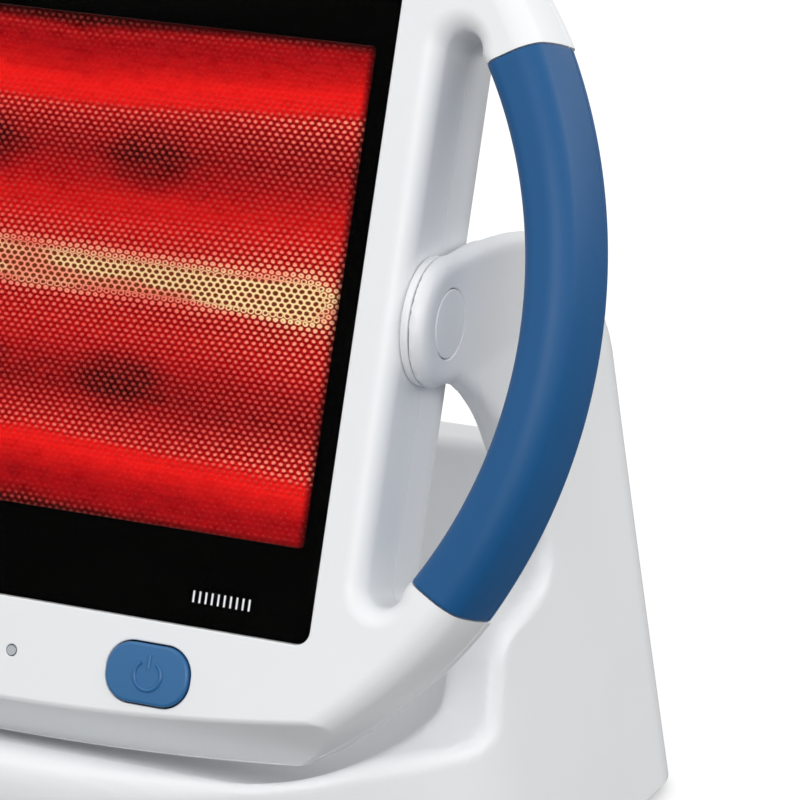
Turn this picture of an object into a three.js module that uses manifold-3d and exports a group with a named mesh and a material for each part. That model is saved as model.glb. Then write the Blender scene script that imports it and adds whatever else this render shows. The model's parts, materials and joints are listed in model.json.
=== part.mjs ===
// Infrared heat lamp: a tilting head with two side handles, held by a stand with two arms.
// Millimetres, +Z up, front towards -Y. The origin is on the floor under the middle of the lamp.
// The head is drawn upright in its own group: X right, Y into the depth, Z up, pivot at zero.

import * as THREE from 'three';
import { mergeVertices } from 'three/addons/utils/BufferGeometryUtils.js';
import Module from 'manifold-3d';

const wasm = await Module();
wasm.setup();

// General clearances
const GAP = 0.3;                   // between two pieces that touch
const OVERRUN = 1;                 // how far a cutter passes the surface it cuts

// Pivot of the head, forward of the middle of the stand
const PIVOT_FORWARD = 32;
const REST_TILT = 20;              // degrees, head leaning back

// Glass, filter and their seat
const GLASS_HALF_WIDTH = 103;
const GLASS_LOW = 97.1;
const GLASS_HIGH = 99.5;
const GLASS_CORNER = 4;
const GLASS_THICKNESS = 4;
const GLASS_SETBACK = 0.3;
const SIDE_PRINT = 7.2;            // black border printed on the glass
const LOW_PRINT = 27;
const HIGH_PRINT = 23.7;
const WINDOW_HALF_WIDTH = GLASS_HALF_WIDTH - SIDE_PRINT;
const WINDOW_LOW = GLASS_LOW - LOW_PRINT;
const WINDOW_HIGH = GLASS_HIGH - HIGH_PRINT;
const WINDOW_CORNER = 1.5;
const GASKET_THICKNESS = 1;
const FILTER_THICKNESS = 2.4;
const LEDGE_THICKNESS = 2.6;
const LEDGE_LAP = 1.6;

// Head front frame
const SIDE_BAND = 14;              // white frame beside the glass
const LOW_BAND = 30.1;             // white frame under the glass
const HANDLE_REACH = 49;           // from the side walls to the handles' outer edge in front
const RIM_FLARE = 3.4;             // the outline grows backwards as far as the parting plane
const RIM_RISE = 11;
const FACE_DEPTH = 19;             // front plane ahead of the pivot axis
const SEAM_DEPTH = 4;              // parting plane of the two head shells behind the axis
const SIDE_WALL = GLASS_HALF_WIDTH + SIDE_BAND;
const FACE_RADIUS = SIDE_WALL + HANDLE_REACH;
const RIM_RADIUS = FACE_RADIUS + RIM_FLARE;
const FACE_HALF_HEIGHT = GLASS_LOW + LOW_BAND;
const RIM_HALF_HEIGHT = FACE_HALF_HEIGHT + RIM_RISE;
const FACE_ARCH_RADIUS = 704;      // shallow arch of the top and bottom edges in front
const RIM_ARCH_RADIUS = 900;       // the same arch at the parting plane
const FACE_CORNER_PULL = 1.7;      // the side arcs draw in by this much as they reach the corners
const RIM_CORNER_PULL = 4.9;       // the same at the parting plane
const PULL_START_ANGLE = 29.5;     // where that begins, in degrees above and below the middle
const PULL_POWER_SHARE = 1.3;
const FACE_EDGE_ROUND = 2.4;
const HANDLE_BACK_DEPTH = 12;      // back face of the handles behind the axis
const HANDLE_BACK_ROUND = 5;
const SHELL_WALL = 3;

// Finger gaps between the head's side walls and the handles
const HANDLE_WIDTH = 13.8;         // front face of a handle at its middle, before its inner round
const HANDLE_ARC_CENTRE = 15.2;    // centre of the handles' inner arc, from the middle
const HANDLE_ARC_RADIUS = FACE_RADIUS - HANDLE_WIDTH - HANDLE_ARC_CENTRE;
const GAP_SLOPE_DEGREES = 34.2;    // direction of the gap's ends, seen from the arc's centre
const GAP_HALF_HEIGHT = HANDLE_ARC_RADIUS * Math.sin(THREE.MathUtils.degToRad(GAP_SLOPE_DEGREES));
const GAP_END_HEIGHT = 6;
const WALL_ROLL = 6.5;             // large round from the face into the gap
const HANDLE_ROLL = 4.5;

// Coloured grips round the handles
const GRIP_HALF_ANGLE = 29.5;      // degrees about the middle of the head
const GRIP_WALL = 2.6;
const GRIP_CHANNEL_WIDTH = 5.6;    // hollow that runs through both halves of a handle
const GRIP_CHANNEL_SKIN = 1.6;
const GRIP_CHANNEL_OUTSIDE = FACE_RADIUS - GRIP_CHANNEL_SKIN;
const GRIP_CHANNEL_INSIDE = GRIP_CHANNEL_OUTSIDE - GRIP_CHANNEL_WIDTH;
const GRIP_CHANNEL_HALF_ANGLE = 26;
const GRIP_CHANNEL_FRONT = 12;
const GRIP_CHANNEL_BACK = 8;

// Heating lamp and reflector
const LAMP_RADIUS = 5;
const LAMP_WALL = 1;
const LAMP_DEPTH = 6;
const LAMP_RISE = 2.8;
const COIL_RADIUS = 1.6;
const LAMP_BASE_RADIUS = 7.5;
const LAMP_BASE_LENGTH = 14;
const LAMP_BASE_PLUG = 4;
const REFLECTOR_SHEET = 0.9;
const REFLECTOR_FLANGE = 3.6;
const REFLECTOR_DEPTH = 30;
const REFLECTOR_END_SLOPE = 11.8;
const REFLECTOR_BACK_HALF_WIDTH = WINDOW_HALF_WIDTH - REFLECTOR_END_SLOPE;
const REFLECTOR_BACK_HALF_HEIGHT = 46;
const LAMP_HALF_LENGTH = REFLECTOR_BACK_HALF_WIDTH;
const HOLDER_SHEET = 1.2;
const HOLDER_HALF_WIDTH = 10;
const SHIELD_OVERHANG = 8;
const SHIELD_HALF_WIDTH = REFLECTOR_BACK_HALF_WIDTH + SHIELD_OVERHANG;
const SHIELD_HALF_HEIGHT = 60;
const SHIELD_SHEET = 0.8;
const SHIELD_GAP = 4;
const CUTOUT_RADIUS = 8;
const CUTOUT_HEIGHT = 5;
const CUTOUT_OFFSET = 45;

// Rear cover
const COVER_DEPTH = 47;            // back of the cover behind the axis
const COVER_SIDE_TAPER = 27;
const COVER_END_TAPER = 32.2;
const COVER_BACK_HALF_WIDTH = SIDE_WALL - COVER_SIDE_TAPER;
const COVER_BACK_HALF_HEIGHT = RIM_HALF_HEIGHT - COVER_END_TAPER;
const VENT_HALF_LENGTH = 52;
const VENT_HEIGHT = 3.6;
const VENT_PITCH = 9;
const VENT_COUNT = 6;
const VENT_START = 32;
const FAN_VENT_RADIUS = 23;
const FAN_VENT_COUNT = 6;
const FAN_VENT_WIDTH = 3.4;
const FAN_RISE = -62;              // fan axis below the middle of the head

// Fan
const FAN_FRAME_HALF = 26;
const FAN_FRAME_DEPTH = 9;
const FAN_RIM = 2;
const FAN_BORE = FAN_FRAME_HALF - FAN_RIM;
const FAN_HUB_RADIUS = 9;
const FAN_TIP_CLEARANCE = 1;
const FAN_BLADE_RADIUS = FAN_BORE - FAN_TIP_CLEARANCE;
const FAN_BLADE_THICKNESS = 1;
const FAN_BLADE_COUNT = 7;
const FAN_BLADE_PITCH = 32;        // degrees
const FAN_ROTOR_DEPTH = 7;
const FAN_STRUT_WIDTH = 3;
const FAN_STRUT_DEPTH = 1.4;

// Buttons and control board
const BUTTON_OFFSET = 54.3;
const BUTTON_BELOW_GLASS = 15.9;
const BUTTON_DROP = GLASS_LOW + BUTTON_BELOW_GLASS;
const BUTTON_HALF_WIDTH = 13.3;
const BUTTON_HALF_HEIGHT = 8.8;
const BUTTON_CORNER = 8;
const BUTTON_PROUD = 1.2;
const BUTTON_GAP = 0.45;
const BUTTON_EAR = 2;              // stop ears behind the frame
const BUTTON_FLANGE_THICKNESS = 1;
const BUTTON_TRAVEL = 1;
const STEM_RADIUS = 2.2;
const STEM_LENGTH = 2.4;
const SWITCH_HALF = 3;
const SWITCH_HEIGHT = 3.4;
const BOARD_OVERHANG = 19.7;
const BOARD_HALF_WIDTH = BUTTON_OFFSET + BOARD_OVERHANG;
const BOARD_HALF_HEIGHT = 10;
const BOARD_THICKNESS = 1.6;
const RELAY_HALF_WIDTH = 9;
const RELAY_HALF_HEIGHT = 7;
const RELAY_DEPTH = 9;
const BUZZER_RADIUS = 6;
const BUZZER_DEPTH = 5;
const LED_RADIUS = 1.5;
const LED_OFFSET = 14;
const LED_COUNT = 3;
const LED_PITCH = 9;
const TERMINAL_HALF_WIDTH = 14;
const TERMINAL_HALF_HEIGHT = 7;
const TERMINAL_DEPTH = 6;
const TERMINAL_INSET = 24;
const TERMINAL_OFFSET = COVER_BACK_HALF_WIDTH - TERMINAL_INSET;

// Hubs
const RING_RADIUS = 19;
const RING_THICKNESS = 2.3;
const TRUNNION_RADIUS = 12;
const TRUNNION_BORE = 6.5;
const TRUNNION_FLANGE = 14;
const TRUNNION_FLANGE_THICKNESS = 3;
const TRUNNION_REACH = 8;
const HUB_CAP_RADIUS = 10.1;
const HUB_CAP_THICKNESS = 1.6;
const ARM_AT_HUB = 4.8;
const RING_INSIDE = SIDE_WALL + GAP;
const RING_OUTSIDE = RING_INSIDE + RING_THICKNESS;
const ARM_INSIDE = RING_OUTSIDE + GAP;
const ARM_OUTSIDE = ARM_INSIDE + ARM_AT_HUB;

// Stand
const FLOOR_CLEARANCE = 47.8;      // room under the head's outline for the foot
const PIVOT_HEIGHT = RIM_HALF_HEIGHT + FLOOR_CLEARANCE;
const STAND_FRONT = 72;            // ahead of the pivot axis
const STAND_BACK = 136;            // behind the pivot axis
const STAND_FLARE = 25.3;          // the sides flare outwards from the hubs to the floor
const STAND_HALF_WIDTH = ARM_OUTSIDE + STAND_FLARE;
const STAND_WALL = 3;
const STAND_LIFT = 3;              // bottom rim above the floor
const STAND_SIDE_START = 22;       // where the foot's straight side walls begin, behind the axis
const HUB_SIDE_SPARE = 5;          // the arms' side walls are straight from this far ahead of the hubs
const STAND_CORNER = 26;
const ARM_RADIUS = 19.3;
const SWING_CLEARANCE = 3.8;       // free round the head when it swings
const HEAD_SWING = RIM_HALF_HEIGHT + SWING_CLEARANCE;
const BARREL_SPARE = 6;            // the same beside the head's barrel outline
const ARM_THICKENING = 12;         // the arms grow inwards behind the head
const ARM_THICKENING_START = 52;
const ARM_THICKENING_END = 92;
const BACK_WALL_DROP = 79;         // top of the back wall below the pivot
const FLARE_POWER_SHARE = 1.05;    // how late the stand's sides flare outwards

// Underside
const PLATE_THICKNESS = 2.5;
const PLATE_RECESS = 1;
const FOOT_RADIUS = 9;
const FOOT_INSET = 42;             // centre of the feet inside the stand's side
const FOOT_SIDE = STAND_HALF_WIDTH - FOOT_INSET;
const FOOT_FRONT = 26;
const FOOT_BACK = 108;
const WEIGHT_INSET = 50;
const WEIGHT_HALF_WIDTH = STAND_HALF_WIDTH - WEIGHT_INSET;
const WEIGHT_DEPTH = 84;
const WEIGHT_THICKNESS = 8;
const WEIGHT_BACK = 100;
const SCREW_HEAD_RADIUS = 3.2;
const SCREW_HEAD_HEIGHT = 1.5;
const SCREW_RADIUS = 1.6;
const SCREW_LENGTH = 12;
const BOSS_RADIUS = 4.6;
const BASE_SCREW_INSET = 66;
const BASE_SCREW_SIDE = STAND_HALF_WIDTH - BASE_SCREW_INSET;
const BASE_SCREW_FRONT = 48;
const BASE_SCREW_BACK = 116;
const INLET_HEIGHT = 22;
const INLET_RADIUS = 5;
const INLET_BORE = 3.4;
const INLET_FLANGE = 7.5;
const INLET_FLANGE_THICKNESS = 2;
const INLET_SIDE = 60;

// Head screws, through the back shell into the front frame
const HEAD_SCREW_OUT = 10;         // outside the side walls
const HEAD_SCREW_UP = 16;          // past the ends of the finger gaps
const HEAD_SCREW_SIDE = SIDE_WALL + HEAD_SCREW_OUT;
const HEAD_SCREW_RISE = GAP_HALF_HEIGHT + HEAD_SCREW_UP;
const HEAD_SCREW_LENGTH = 13;
const HEAD_SCREW_HEAD = 3;

// Shares of the sizes that they follow
const EDGE_STEP_SHARE = 0.3;       // middle ring of the front edge's round
const WEDGE_REACH_SHARE = 1.3;     // how far the grip wedge passes the rim
const CORE_CHORD_SHARE = 0.93;     // the handles' inner arc is shorter than the outer one
const TUB_CORNER_SHARE = 0.29;     // corner of the tub, of the side wall's place
const REFLECTOR_KNEE_DEPTH_SHARE = 0.72;
const REFLECTOR_KNEE_LOW_SHARE = 1.22;
const REFLECTOR_KNEE_HIGH_SHARE = 1.3;
const SHIELD_LOW_SHARE = 0.55;
const SHIELD_FOOT_SIDE_SHARE = 0.8;
const SHIELD_FOOT_RISE_SHARE = 0.6;
const BLADE_DEPTH_SHARE = 1.3;
const PLATE_REACH_SHARE = 0.93;
const PLAN_BOW_SHARE = 0.8;        // fullness of the stand's bowed front
const HUB_SIDE_SHARE = 1.8;        // the arms' straight sides start below the hub, of its radius
const SOLID_ARM_SHARE = 0.35;      // the arms are solid above this share of the back wall's drop
const tubShares = [[0, 0, 0], [0.36, 0, 0.08], [0.66, 0.2, 0.3], [0.86, 0.52, 0.6], [0.96, 0.84, 0.86],
  [1, 1, 1]];
const standLevelShares = [0, 0.18, 0.36, 0.52, 0.68, 0.82, 0.93, 1];
const wallRollShares = [0, 0.12, 0.45, 1];
const backRoundShares = [1, 0.45, 0];

// Smoothness
const ARC_STEPS = 12;
const ARCH_STEPS = 4;
const END_STEPS = 4;
const CORNER_STEPS = 3;
const ROUND_SIDES = 24;
const SMALL_SIDES = 10;

// Outline of an arm's side, as shares of the stand's back reach and of the pivot height
const armBackShares = [[0, 0.1038], [0.2, 0.0946], [0.441, 0.062], [0.662, -0.0215], [0.831, -0.134],
  [0.934, -0.253], [0.989, -0.387], [1, -0.527], [1, -0.672], [0.975, -0.833], [0.955, -1]];
const footTopShares = [[-0.53, -1], [-0.53, -0.876], [-0.518, -0.806], [-0.485, -0.761], [-0.412, -0.726],
  [-0.294, -0.696], [-0.162, -0.679], [-0.059, -0.672], [0.004, -0.6586], [0.03, -0.6263], [0.048, -0.5914],
  [0.07, -0.557], [0.13, -0.528], [0.25, -0.513], [0.335, -0.497], [0.368, -0.465], [0.362, -0.42],
  [0.3, -0.33], [0.215, -0.222], [0.14, -0.158], [0.06, -0.115], [0, -0.1038]];

const group = new THREE.Group();
const stand = new THREE.Group();
const head = new THREE.Group();
stand.position.set(0, -PIVOT_FORWARD, PIVOT_HEIGHT);
head.position.copy(stand.position);
head.rotation.x = -THREE.MathUtils.degToRad(REST_TILT);
group.add(stand, head);

const AXIS_X = new THREE.Vector3(1, 0, 0);
const AXIS_Y = new THREE.Vector3(0, 1, 0);
const AXIS_Z = new THREE.Vector3(0, 0, 1);

const FINISHES = {
  white: { color: 0xf2f3f5, roughness: 0.42, metalness: 0 },
  blue: { color: 0x2c6496, roughness: 0.5, metalness: 0 },
  black: { color: 0x060607, roughness: 0.08, metalness: 0 },
  filter: { color: 0xc81a10, roughness: 0.3, metalness: 0 },
  clear: { color: 0xe8eef2, roughness: 0.05, metalness: 0 },
  rubber: { color: 0x26272a, roughness: 0.85, metalness: 0 },
  steel: { color: 0xa9adb2, roughness: 0.35, metalness: 1 },
  aluminium: { color: 0xd6d8db, roughness: 0.22, metalness: 1 },
  ceramic: { color: 0xece7dc, roughness: 0.6, metalness: 0 },
  board: { color: 0x1f6b45, roughness: 0.55, metalness: 0 },
  dark: { color: 0x2b2d31, roughness: 0.6, metalness: 0 },
  tungsten: { color: 0xffb060, roughness: 0.4, metalness: 1 },
};

function solidOf(geometry) {
  const bare = geometry.clone();
  for (const name of Object.keys(bare.attributes)) {
    if (name !== 'position') bare.deleteAttribute(name);
  }
  const merged = mergeVertices(bare, 1e-5);
  const mesh = new wasm.Mesh({
    numProp: 3,
    vertProperties: Float32Array.from(merged.attributes.position.array),
    triVerts: Uint32Array.from(merged.index.array),
  });
  mesh.merge();
  return new wasm.Manifold(mesh);
}

function geometryOf(solid) {
  const mesh = solid.getMesh();
  const geometry = new THREE.BufferGeometry();
  geometry.setAttribute('position', new THREE.BufferAttribute(Float32Array.from(mesh.vertProperties), 3));
  geometry.setIndex(new THREE.BufferAttribute(Uint32Array.from(mesh.triVerts), 1));
  return geometry;
}

function join(first, ...others) {
  return others.reduce((sum, other) => sum.add(other), first);
}

function cut(first, ...others) {
  return others.reduce((rest, other) => rest.subtract(other), first);
}

function addPiece(parent, name, solid, finish) {
  const mesh = new THREE.Mesh(geometryOf(solid), new THREE.MeshStandardMaterial(FINISHES[finish]));
  mesh.name = name;
  parent.add(mesh);
  return mesh;
}

// A closed skin through rings of equal point count; the first and last ring are capped
function loft(rings) {
  const count = rings[0].length;
  const positions = rings.flat().flatMap((p) => [p.x, p.y, p.z]);
  const index = [];
  for (let r = 0; r + 1 < rings.length; r += 1) {
    for (let i = 0; i < count; i += 1) {
      const j = (i + 1) % count;
      const a = r * count + i;
      const b = r * count + j;
      index.push(a, b, b + count, a, b + count, a + count);
    }
  }
  const last = (rings.length - 1) * count;
  for (const [a, b, c] of capTriangles(rings, 0)) index.push(c, b, a);
  for (const [a, b, c] of capTriangles(rings, rings.length - 1)) index.push(last + a, last + b, last + c);
  const geometry = new THREE.BufferGeometry();
  geometry.setAttribute('position', new THREE.Float32BufferAttribute(positions, 3));
  geometry.setIndex(index);
  const solid = solidOf(geometry);
  return solid.volume() < 0 ? solidOf(flipped(geometry)) : solid;
}

// Triangles of one ring's own plane, wound the same way as the ring; rings lie square to Y or to Z
function capTriangles(rings, which) {
  const squareToY = rings[which].every((p) => p.y === rings[which][0].y);
  const flat = rings[which].map((p) => new THREE.Vector2(p.x, squareToY ? p.z : p.y));
  const triangles = THREE.ShapeUtils.triangulateShape(flat, []);
  const area = triangles.reduce((sum, [a, b, c]) => {
    return sum + flat[b].clone().sub(flat[a]).cross(flat[c].clone().sub(flat[a]));
  }, 0);
  const same = Math.sign(area) === Math.sign(THREE.ShapeUtils.area(flat));
  return same ? triangles : triangles.map(([a, b, c]) => [c, b, a]);
}

function flipped(geometry) {
  const copy = geometry.clone();
  const order = Array.from(copy.index.array);
  for (let i = 0; i < order.length; i += 3) {
    const first = order[i];
    order[i] = order[i + 1];
    order[i + 1] = first;
  }
  copy.setIndex(order);
  return copy;
}

// A shape in X and Z, thick from one depth to another along Y
function slab(points, front, back) {
  const settings = { depth: back - front, bevelEnabled: false };
  const geometry = new THREE.ExtrudeGeometry(new THREE.Shape(points), settings);
  geometry.applyMatrix4(new THREE.Matrix4().makeBasis(AXIS_X, AXIS_Z, AXIS_Y.clone().negate()));
  geometry.translate(0, back, 0);
  return solidOf(geometry);
}

// A shape in Y and Z, thick from one place to another along X
function sideSlab(points, left, right) {
  const settings = { depth: right - left, bevelEnabled: false };
  const geometry = new THREE.ExtrudeGeometry(new THREE.Shape(points), settings);
  geometry.applyMatrix4(new THREE.Matrix4().makeBasis(AXIS_Y, AXIS_Z, AXIS_X));
  geometry.translate(left, 0, 0);
  return solidOf(geometry);
}

function block(x0, x1, y0, y1, z0, z1) {
  const geometry = new THREE.BoxGeometry(x1 - x0, y1 - y0, z1 - z0);
  geometry.translate((x0 + x1) / 2, (y0 + y1) / 2, (z0 + z1) / 2);
  return solidOf(geometry);
}

// A round bar between two places on an axis: 0 is X, 1 is Y and 2 is Z
function rod(radius, axis, from, to, across, sides = ROUND_SIDES) {
  const geometry = new THREE.CylinderGeometry(radius, radius, Math.abs(to - from), sides);
  if (axis === 0) geometry.rotateZ(Math.PI / 2);
  if (axis === 2) geometry.rotateX(Math.PI / 2);
  const centre = [0, 0, 0];
  const free = [0, 1, 2].filter((i) => i !== axis);
  centre[axis] = (from + to) / 2;
  centre[free[0]] = across[0];
  centre[free[1]] = across[1];
  geometry.translate(...centre);
  return solidOf(geometry);
}

function mirrored(solid) {
  return solid.mirror([1, 0, 0]);
}

// A rectangle with round corners, from one corner to the other
function roundRect(x0, x1, z0, z1, corner) {
  const points = [];
  const centres = [[x1 - corner, z0 + corner, -90], [x1 - corner, z1 - corner, 0],
    [x0 + corner, z1 - corner, 90], [x0 + corner, z0 + corner, 180]];
  for (const [cx, cz, start] of centres) {
    for (let i = 0; i <= CORNER_STEPS; i += 1) {
      const turn = THREE.MathUtils.degToRad(start + 90 * i / CORNER_STEPS);
      points.push(new THREE.Vector2(cx + corner * Math.cos(turn), cz + corner * Math.sin(turn)));
    }
  }
  return points;
}

// Head outline at one depth: two side arcs that draw in towards the corners, arched top and bottom
function headRing(depth, radius, halfHeight, archRadius, pull) {
  const reach = radius - pull;
  const bow = 1 / (2 * archRadius);
  const linear = 1 - 2 * bow * halfHeight;
  const root = Math.sqrt(linear * linear - 4 * bow * bow * (halfHeight * halfHeight - reach * reach));
  const cornerX = Math.sqrt((root - linear) / (2 * bow * bow));
  const cornerTurn = Math.acos(cornerX / reach);
  const pullStart = THREE.MathUtils.degToRad(PULL_START_ANGLE);
  const right = [];
  for (let i = 0; i <= ARC_STEPS * 2; i += 1) {
    const turn = cornerTurn * (i / ARC_STEPS - 1);
    const share = Math.max(Math.abs(turn) - pullStart, 0) / (cornerTurn - pullStart);
    const arc = radius - pull * share ** PULL_POWER_SHARE;
    right.push(new THREE.Vector3(arc * Math.cos(turn), depth, arc * Math.sin(turn)));
  }
  const top = [];
  for (let i = 1; i < ARCH_STEPS * 2; i += 1) {
    const x = cornerX * (1 - i / ARCH_STEPS);
    top.push(new THREE.Vector3(x, depth, halfHeight - bow * x * x));
  }
  const turned = (p) => new THREE.Vector3(-p.x, depth, -p.z);
  return [...right, ...top, ...right.map(turned), ...top.map(turned)];
}

// Outline of the cover's tub: straight sides, arched top and bottom, cut corners
function tubRing(depth, halfWidth, halfHeight, corner) {
  const bow = 1 / (2 * RIM_ARCH_RADIUS);
  const inner = halfWidth - corner;
  const endHeight = halfHeight - bow * inner * inner;
  const right = [];
  for (let i = 0; i <= END_STEPS; i += 1) {
    const turn = Math.PI / 2 * i / END_STEPS;
    const z = endHeight - corner + corner * Math.sin(turn);
    right.push(new THREE.Vector3(inner + corner * Math.cos(turn), depth, z));
  }
  const top = [];
  for (let i = 1; i < ARCH_STEPS * 2; i += 1) {
    const x = inner * (1 - i / ARCH_STEPS);
    top.push(new THREE.Vector3(x, depth, halfHeight - bow * x * x));
  }
  const left = right.map((p) => new THREE.Vector3(-p.x, depth, p.z)).reverse();
  const upper = [...right, ...top, ...left];
  return [...upper, ...upper.map((p) => new THREE.Vector3(-p.x, depth, -p.z))];
}

// How far a round of this radius has moved in at a share of its depth
function roundInset(radius, share) {
  return radius * (1 - Math.sqrt(1 - (1 - share) ** 2));
}

// Outline of the right finger gap at one depth; wall and handle say how far it has widened
function gapRing(depth, wall, handle) {
  const inside = SIDE_WALL - wall;
  const reach = HANDLE_ARC_RADIUS + handle;
  const arcAt = (z) => HANDLE_ARC_CENTRE + Math.sqrt(reach * reach - z * z);
  const middle = (inside + arcAt(GAP_HALF_HEIGHT)) / 2;
  const halfWidth = (arcAt(GAP_HALF_HEIGHT) - inside) / 2;
  const endHeight = GAP_END_HEIGHT + wall;
  const end = [];
  for (let i = 0; i <= END_STEPS; i += 1) {
    const turn = Math.PI * i / END_STEPS;
    end.push([middle + halfWidth * Math.cos(turn), GAP_HALF_HEIGHT + endHeight * Math.sin(turn)]);
  }
  const ring = end.map(([x, z]) => new THREE.Vector3(x, depth, z));
  for (const [x, z] of [...end].reverse()) ring.push(new THREE.Vector3(x, depth, -z));
  const steps = ARC_STEPS;
  for (let i = 1; i < steps; i += 1) {
    const z = GAP_HALF_HEIGHT * (2 * i / steps - 1);
    ring.push(new THREE.Vector3(arcAt(z), depth, z));
  }
  return ring;
}

function fingerGapRight() {
  const front = wallRollShares.map((share) => {
    const depth = -FACE_DEPTH + share * WALL_ROLL;
    return gapRing(depth, roundInset(WALL_ROLL, share), roundInset(HANDLE_ROLL, share));
  });
  const before = gapRing(-FACE_DEPTH - OVERRUN, WALL_ROLL, HANDLE_ROLL);
  const back = backRoundShares.map((share) => {
    const depth = HANDLE_BACK_DEPTH - share * HANDLE_BACK_ROUND;
    return gapRing(depth, 0, roundInset(HANDLE_BACK_ROUND, share));
  });
  const after = gapRing(HANDLE_BACK_DEPTH + OVERRUN, 0, HANDLE_BACK_ROUND);
  return loft([before, ...front, ...back, after]);
}

function faceRing(depth, inset) {
  return headRing(depth, FACE_RADIUS - inset, FACE_HALF_HEIGHT - inset, FACE_ARCH_RADIUS, FACE_CORNER_PULL);
}

function rimRing(depth, inset) {
  return headRing(depth, RIM_RADIUS - inset, RIM_HALF_HEIGHT - inset, RIM_ARCH_RADIUS, RIM_CORNER_PULL);
}

// Whole outer form of the head in front of the parting plane, and of the handles behind it
function frontForm() {
  const step = FACE_EDGE_ROUND * EDGE_STEP_SHARE;
  return loft([
    faceRing(-FACE_DEPTH, FACE_EDGE_ROUND),
    faceRing(-FACE_DEPTH + step, step),
    faceRing(-FACE_DEPTH + FACE_EDGE_ROUND, 0),
    rimRing(-SEAM_DEPTH / 2, GAP),
    rimRing(SEAM_DEPTH - GAP / 2, 0),
  ]);
}

function backForm() {
  const seamRing = rimRing(SEAM_DEPTH + GAP / 2, 0);
  const rings = backRoundShares.map((share) => {
    const depth = HANDLE_BACK_DEPTH - share * HANDLE_BACK_ROUND;
    return rimRing(depth, roundInset(HANDLE_BACK_ROUND, share));
  });
  return loft([seamRing, ...rings]);
}

// Wedge of the head that a right-hand grip covers
function gripWedge(margin) {
  const turn = THREE.MathUtils.degToRad(GRIP_HALF_ANGLE);
  const lift = margin / Math.cos(turn);
  const start = SIDE_WALL + HANDLE_BACK_ROUND / 2;
  const end = RIM_RADIUS * WEDGE_REACH_SHARE;
  const points = [[start, -1], [end, -1], [end, 1], [start, 1]]
    .map(([x, side]) => new THREE.Vector2(x, side * (x * Math.tan(turn) - lift)));
  return slab(points, -FACE_DEPTH - OVERRUN * 2, HANDLE_BACK_DEPTH + OVERRUN * 2);
}

// Arc band between two radii about two centres, for the core and its channel
function arcBand(insideCentre, insideRadius, outsideRadius, halfAngle, front, back) {
  const turnLimit = THREE.MathUtils.degToRad(halfAngle);
  const points = [];
  for (let i = 0; i <= ARC_STEPS; i += 1) {
    const turn = turnLimit * (2 * i / ARC_STEPS - 1);
    points.push(new THREE.Vector2(outsideRadius * Math.cos(turn), outsideRadius * Math.sin(turn)));
  }
  for (let i = ARC_STEPS; i >= 0; i -= 1) {
    const z = outsideRadius * Math.sin(turnLimit) * CORE_CHORD_SHARE * (2 * i / ARC_STEPS - 1);
    points.push(new THREE.Vector2(insideCentre + Math.sqrt(insideRadius ** 2 - z * z), z));
  }
  return slab(points, front, back);
}

function gripCore(spare) {
  return arcBand(HANDLE_ARC_CENTRE, HANDLE_ARC_RADIUS + GRIP_WALL - spare, FACE_RADIUS - GRIP_WALL + spare,
    GRIP_HALF_ANGLE + 2, -FACE_DEPTH + GRIP_WALL - spare, HANDLE_BACK_DEPTH - GRIP_WALL + spare);
}

function gripChannel() {
  return arcBand(0, GRIP_CHANNEL_INSIDE, GRIP_CHANNEL_OUTSIDE, GRIP_CHANNEL_HALF_ANGLE,
    -GRIP_CHANNEL_FRONT, GRIP_CHANNEL_BACK);
}

const GAP_RIGHT = fingerGapRight();
const FRONT_FORM = frontForm();
const BACK_FORM = backForm();
const BOTH_GAPS = join(GAP_RIGHT, mirrored(GAP_RIGHT));
const GRIP_POCKET = cut(gripWedge(0), gripCore(0));
const BOTH_POCKETS = join(GRIP_POCKET, mirrored(GRIP_POCKET));
const BOTH_CHANNELS = join(gripChannel(), mirrored(gripChannel()));

// Depths of the stack behind the front plane
const GLASS_FRONT = -FACE_DEPTH + GLASS_SETBACK;
const GLASS_BACK = GLASS_FRONT + GLASS_THICKNESS;
const GASKET_FRONT = GLASS_BACK + GAP;
const GASKET_BACK = GASKET_FRONT + GASKET_THICKNESS;
const LEDGE_FRONT = GASKET_BACK + GAP;
const LEDGE_BACK = LEDGE_FRONT + LEDGE_THICKNESS;
const FLANGE_FRONT = LEDGE_BACK + GAP;

const FLANGE_BEHIND = -FACE_DEPTH + SHELL_WALL + GAP;
const STEM_BACK = FLANGE_BEHIND + BUTTON_FLANGE_THICKNESS + STEM_LENGTH;
const SWITCH_FRONT = STEM_BACK + BUTTON_TRAVEL + GAP;
const BOARD_FRONT = SWITCH_FRONT + SWITCH_HEIGHT + GAP;
const BOARD_BACK = BOARD_FRONT + BOARD_THICKNESS;

function glassOutline(spare) {
  return roundRect(-GLASS_HALF_WIDTH - spare, GLASS_HALF_WIDTH + spare, -GLASS_LOW - spare,
    GLASS_HIGH + spare, GLASS_CORNER + spare);
}

function windowOutline(spare) {
  return roundRect(-WINDOW_HALF_WIDTH - spare, WINDOW_HALF_WIDTH + spare, -WINDOW_LOW - spare,
    WINDOW_HIGH + spare, WINDOW_CORNER + Math.max(spare, 0));
}

function hubHole() {
  return rod(TRUNNION_RADIUS + GAP, 0, -SIDE_WALL - OVERRUN, SIDE_WALL + OVERRUN, [0, 0]);
}

function headScrewPlaces() {
  return [[1, 1], [-1, 1], [1, -1], [-1, -1]].map(([a, b]) => [a * HEAD_SCREW_SIDE, b * HEAD_SCREW_RISE]);
}

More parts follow.
